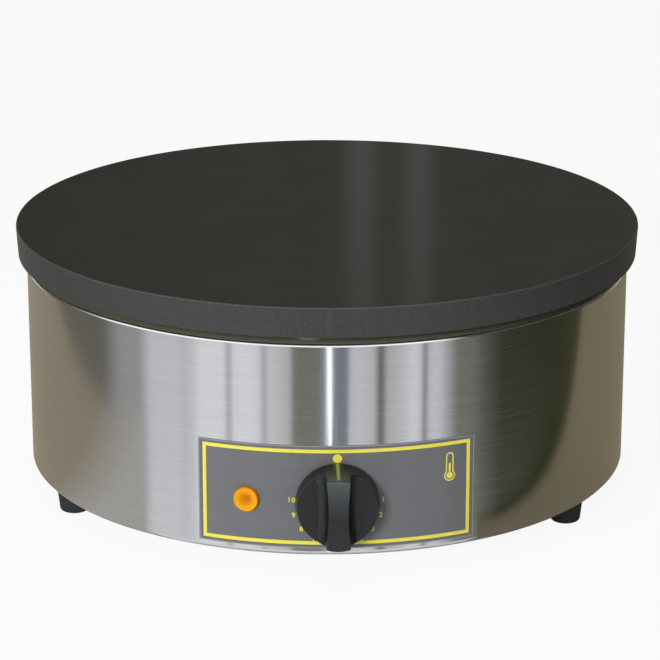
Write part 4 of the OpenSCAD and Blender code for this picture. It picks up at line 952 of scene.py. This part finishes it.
# The bench that the object is on shows in the metal only, in two parts of different shades.
bench_lift = 0.001
benches = {  # outline seen from above, two colours, and the directions from one to the other
    "bench_left": (
        ((-0.116, -0.155), (-0.370, -0.221), (-0.400, -0.123), (-0.660, 0.358), (-0.2, 0.6), (0, 0)),
        (0.49, 0.48, 0.46),
        (0.33, 0.29, 0.215),
        (-58, -78),
    ),
    "bench_right": (
        ((0, 0), (0.086, -0.173), (0.138, -0.206), (0.700, 0.109), (0.700, 0.6), (0.2, 0.6)),
        (0.19, 0.165, 0.11),
        (0.23, 0.20, 0.13),
        (50, 90),
    ),
}
for name, (corners, near, far, turns) in benches.items():
    bench = outline(name, corners, (0, 0, 0))
    place(bench, (0, 0, bench_lift), (math.radians(-90), 0, 0))
    alone_in(bench, "glossy")
    bench_finish = bpy.data.materials.new(name)
    bench_finish.use_nodes = True
    tree = bench_finish.node_tree
    glow = tree.nodes.new("ShaderNodeEmission")
    where = tree.nodes.new("ShaderNodeTexCoord")
    turn, _ = turn_round(tree, where.outputs["Object"])
    colour = blend(tree, spread(tree, turn, 0, 1, *map(math.radians, turns)), (*near, 1), (*far, 1))
    tree.links.new(colour, glow.inputs["Color"])
    tree.links.new(glow.outputs[0], tree.nodes["Material Output"].inputs["Surface"])
    bench.data.materials.append(bench_finish)

# The room stands round the object, each part at its direction in degrees from the front.
lamp, window = (4.2, 4.3, 4.4), (1.5, 1.5, 1.55)
silver, satin, pale = (0.90, 0.90, 0.95), (0.81, 0.81, 0.85), (0.70, 0.71, 0.75)
grey, hazy, slate = (0.56, 0.565, 0.585), (0.37, 0.375, 0.385), (0.18, 0.21, 0.25)
dusk, gloom, dark = (0.185, 0.185, 0.16), (0.16, 0.155, 0.13), (0.09, 0.092, 0.075)
murk, night = (0.09, 0.08, 0.045), (0.027, 0.032, 0.012)
far_screens = (
    (-180, grey), (-158, silver), (-135, pale), (-126, gloom), (-95, gloom), (-86, hazy), (-77, hazy),
    (-71.5, pale), (71, night), (92, night), (122, murk), (135, pale), (180, grey),
)
near_screens = (
    (-71.5, pale), (-53, pale), (-51, silver), (-30, silver), (-15.8, grey), (-14.2, dusk),
    (-5.2, dusk), (-3.2, slate), (-1.8, slate), (-1.3, lamp), (-0.9, lamp), (-0.4, slate),
    (5.7, slate), (7.1, pale), (23, grey), (28, pale), (29, satin), (33, satin), (36, pale),
    (40.5, pale), (48, dusk), (54, dusk), (60, dark), (67, night), (71, night),
)
bars = (  # middle of each bar between the screens, half its width, and the light it lets by
    (-57, 1.5, 0.85), (-38.9, 1.8, 0.4), (-25.3, 1.7, 0.5), (18.2, 2.7, 0.02), (35, 1.7, 0.1),
)
windows = (
    (-180, dusk), (-177, dark), (-174, night), (-160, dark), (-112, gloom), (-98, pale),
    (-90, window), (42, window), (52, dark), (118, dark), (150, gloom), (180, dusk),
)
doors = ((176.34, 0.4, 0.95), (177.5, 0.4, 1.0))  # as the bars, but bright, behind the object
door_light = (1.2, 1.2, 1.2, 1)
# A rise is how high a direction points, from -1 straight down to 1 straight up.
screen_levels, screen_rises = (1.12, 0.98), (-0.36, -0.30)
counter_light, counter_share, counter_rises = (1, 1, 0.98, 1), 0.7, (-0.48, -0.39)
window_rises, door_rises = (-0.03, 0.06), (0.27, 0.40)
unmirrored_light, background = (0.12, 0.12, 0.12, 1), (1, 1, 1, 1)


def ring(tree, turn, stops):
    """Colours that stand round the object, each at its direction in degrees."""
    first, last = stops[0][0], stops[-1][0]
    ramp = tree.nodes.new("ShaderNodeValToRGB")
    marks = ramp.color_ramp.elements
    for i, (degrees, colour) in enumerate(stops):
        mark = marks[i] if i < 2 else marks.new(1)
        mark.position = (degrees - first) / (last - first)
        mark.color = (*colour, 1)
    share = spread(tree, turn, 0, 1, math.radians(first), math.radians(last))
    tree.links.new(share, ramp.inputs["Fac"])
    return ramp.outputs["Color"]


def posts(tree, turn, around, strips):
    """Narrow strips of other levels in a ring of one level."""
    stops = []
    for middle, half, level in strips:
        for degrees, value in ((middle - half, around), (middle, level), (middle + half, around)):
            stops.append((degrees, (value, value, value)))
    return ring(tree, turn, stops)


def product(tree, first, second):
    """Two colours multiplied."""
    node = tree.nodes.new("ShaderNodeVectorMath")
    node.operation = "MULTIPLY"
    tree.links.new(first, node.inputs[0])
    tree.links.new(second, node.inputs[1])
    return node.outputs[0]


def light_of(tree, colour):
    """Light of one colour, or of the output of a node, from all round."""
    node = tree.nodes.new("ShaderNodeBackground")
    feed(tree, colour, node.inputs["Color"])
    return node.outputs[0]


world = bpy.data.worlds.new("studio")
bpy.context.scene.world = world
world.use_nodes = True
tree = world.node_tree
tree.nodes.clear()
where = tree.nodes.new("ShaderNodeTexCoord")
turn, rise = turn_round(tree, where.outputs["Generated"])
in_front = worked(tree, "COMPARE", turn, 0, math.radians(near_screens[-1][0]))
low = blend(tree, in_front, ring(tree, turn, far_screens), ring(tree, turn, near_screens))
low = product(tree, low, posts(tree, turn, 1, bars))
low = product(tree, low, spread(tree, rise, *screen_levels, *screen_rises))
low = blend(tree, spread(tree, rise, counter_share, 0, *counter_rises), low, counter_light)
door = product(tree, posts(tree, turn, 0, doors), spread(tree, rise, 1, 0, *door_rises))
high = blend(tree, door, ring(tree, turn, windows), door_light)
room = light_of(tree, blend(tree, spread(tree, rise, 0, 1, *window_rises), low, high))
glossy = tree.nodes.new("ShaderNodeLightPath").outputs["Is Glossy Ray"]
cast = mixed(tree, glossy, light_of(tree, unmirrored_light), room)
whole = mixed(tree, seen(tree), cast, light_of(tree, background))
world_output = tree.nodes.new("ShaderNodeOutputWorld")
tree.links.new(whole, world_output.inputs["Surface"])


def soft_lamp(name, power, size, location):
    """A soft box aimed at the object."""
    light = bpy.data.lights.new(name, "AREA")
    light.energy, light.size = power, size
    piece = bpy.data.objects.new(name, light)
    bpy.context.collection.objects.link(piece)
    piece.location = location
    piece.rotation_euler = (-Vector(location)).to_track_quat("-Z", "Y").to_euler()
    piece.visible_glossy = False


soft_lamp("key_lamp", power=43, size=0.8, location=(-1.1, -2.4, 0.95))
soft_lamp("top_lamp", power=16, size=1.6, location=(-0.2, -0.3, 2.4))

plate_middle = Vector((0, 0, plate_high.z))
camera_distance, camera_rise, camera_side = 1.9, math.radians(15.61), math.radians(-1.81)
aim_down, aim_side = math.radians(17.84), math.radians(0.06)
frame_half, focal_length = 330, 2941  # both in pixels of a frame 660 across
camera = bpy.data.objects.new("camera", bpy.data.cameras.new("camera"))
bpy.context.collection.objects.link(camera)
reach, climb = camera_distance * math.cos(camera_rise), camera_distance * math.sin(camera_rise)
camera.location = plate_middle + Vector(at_wall(reach, camera_side, climb))
camera.rotation_euler = (math.pi / 2 - aim_down, 0, camera_side - aim_side)
camera.data.angle = 2 * math.atan(frame_half / focal_length)
bpy.context.scene.camera = camera
bpy.context.scene.view_settings.view_transform = "Standard"
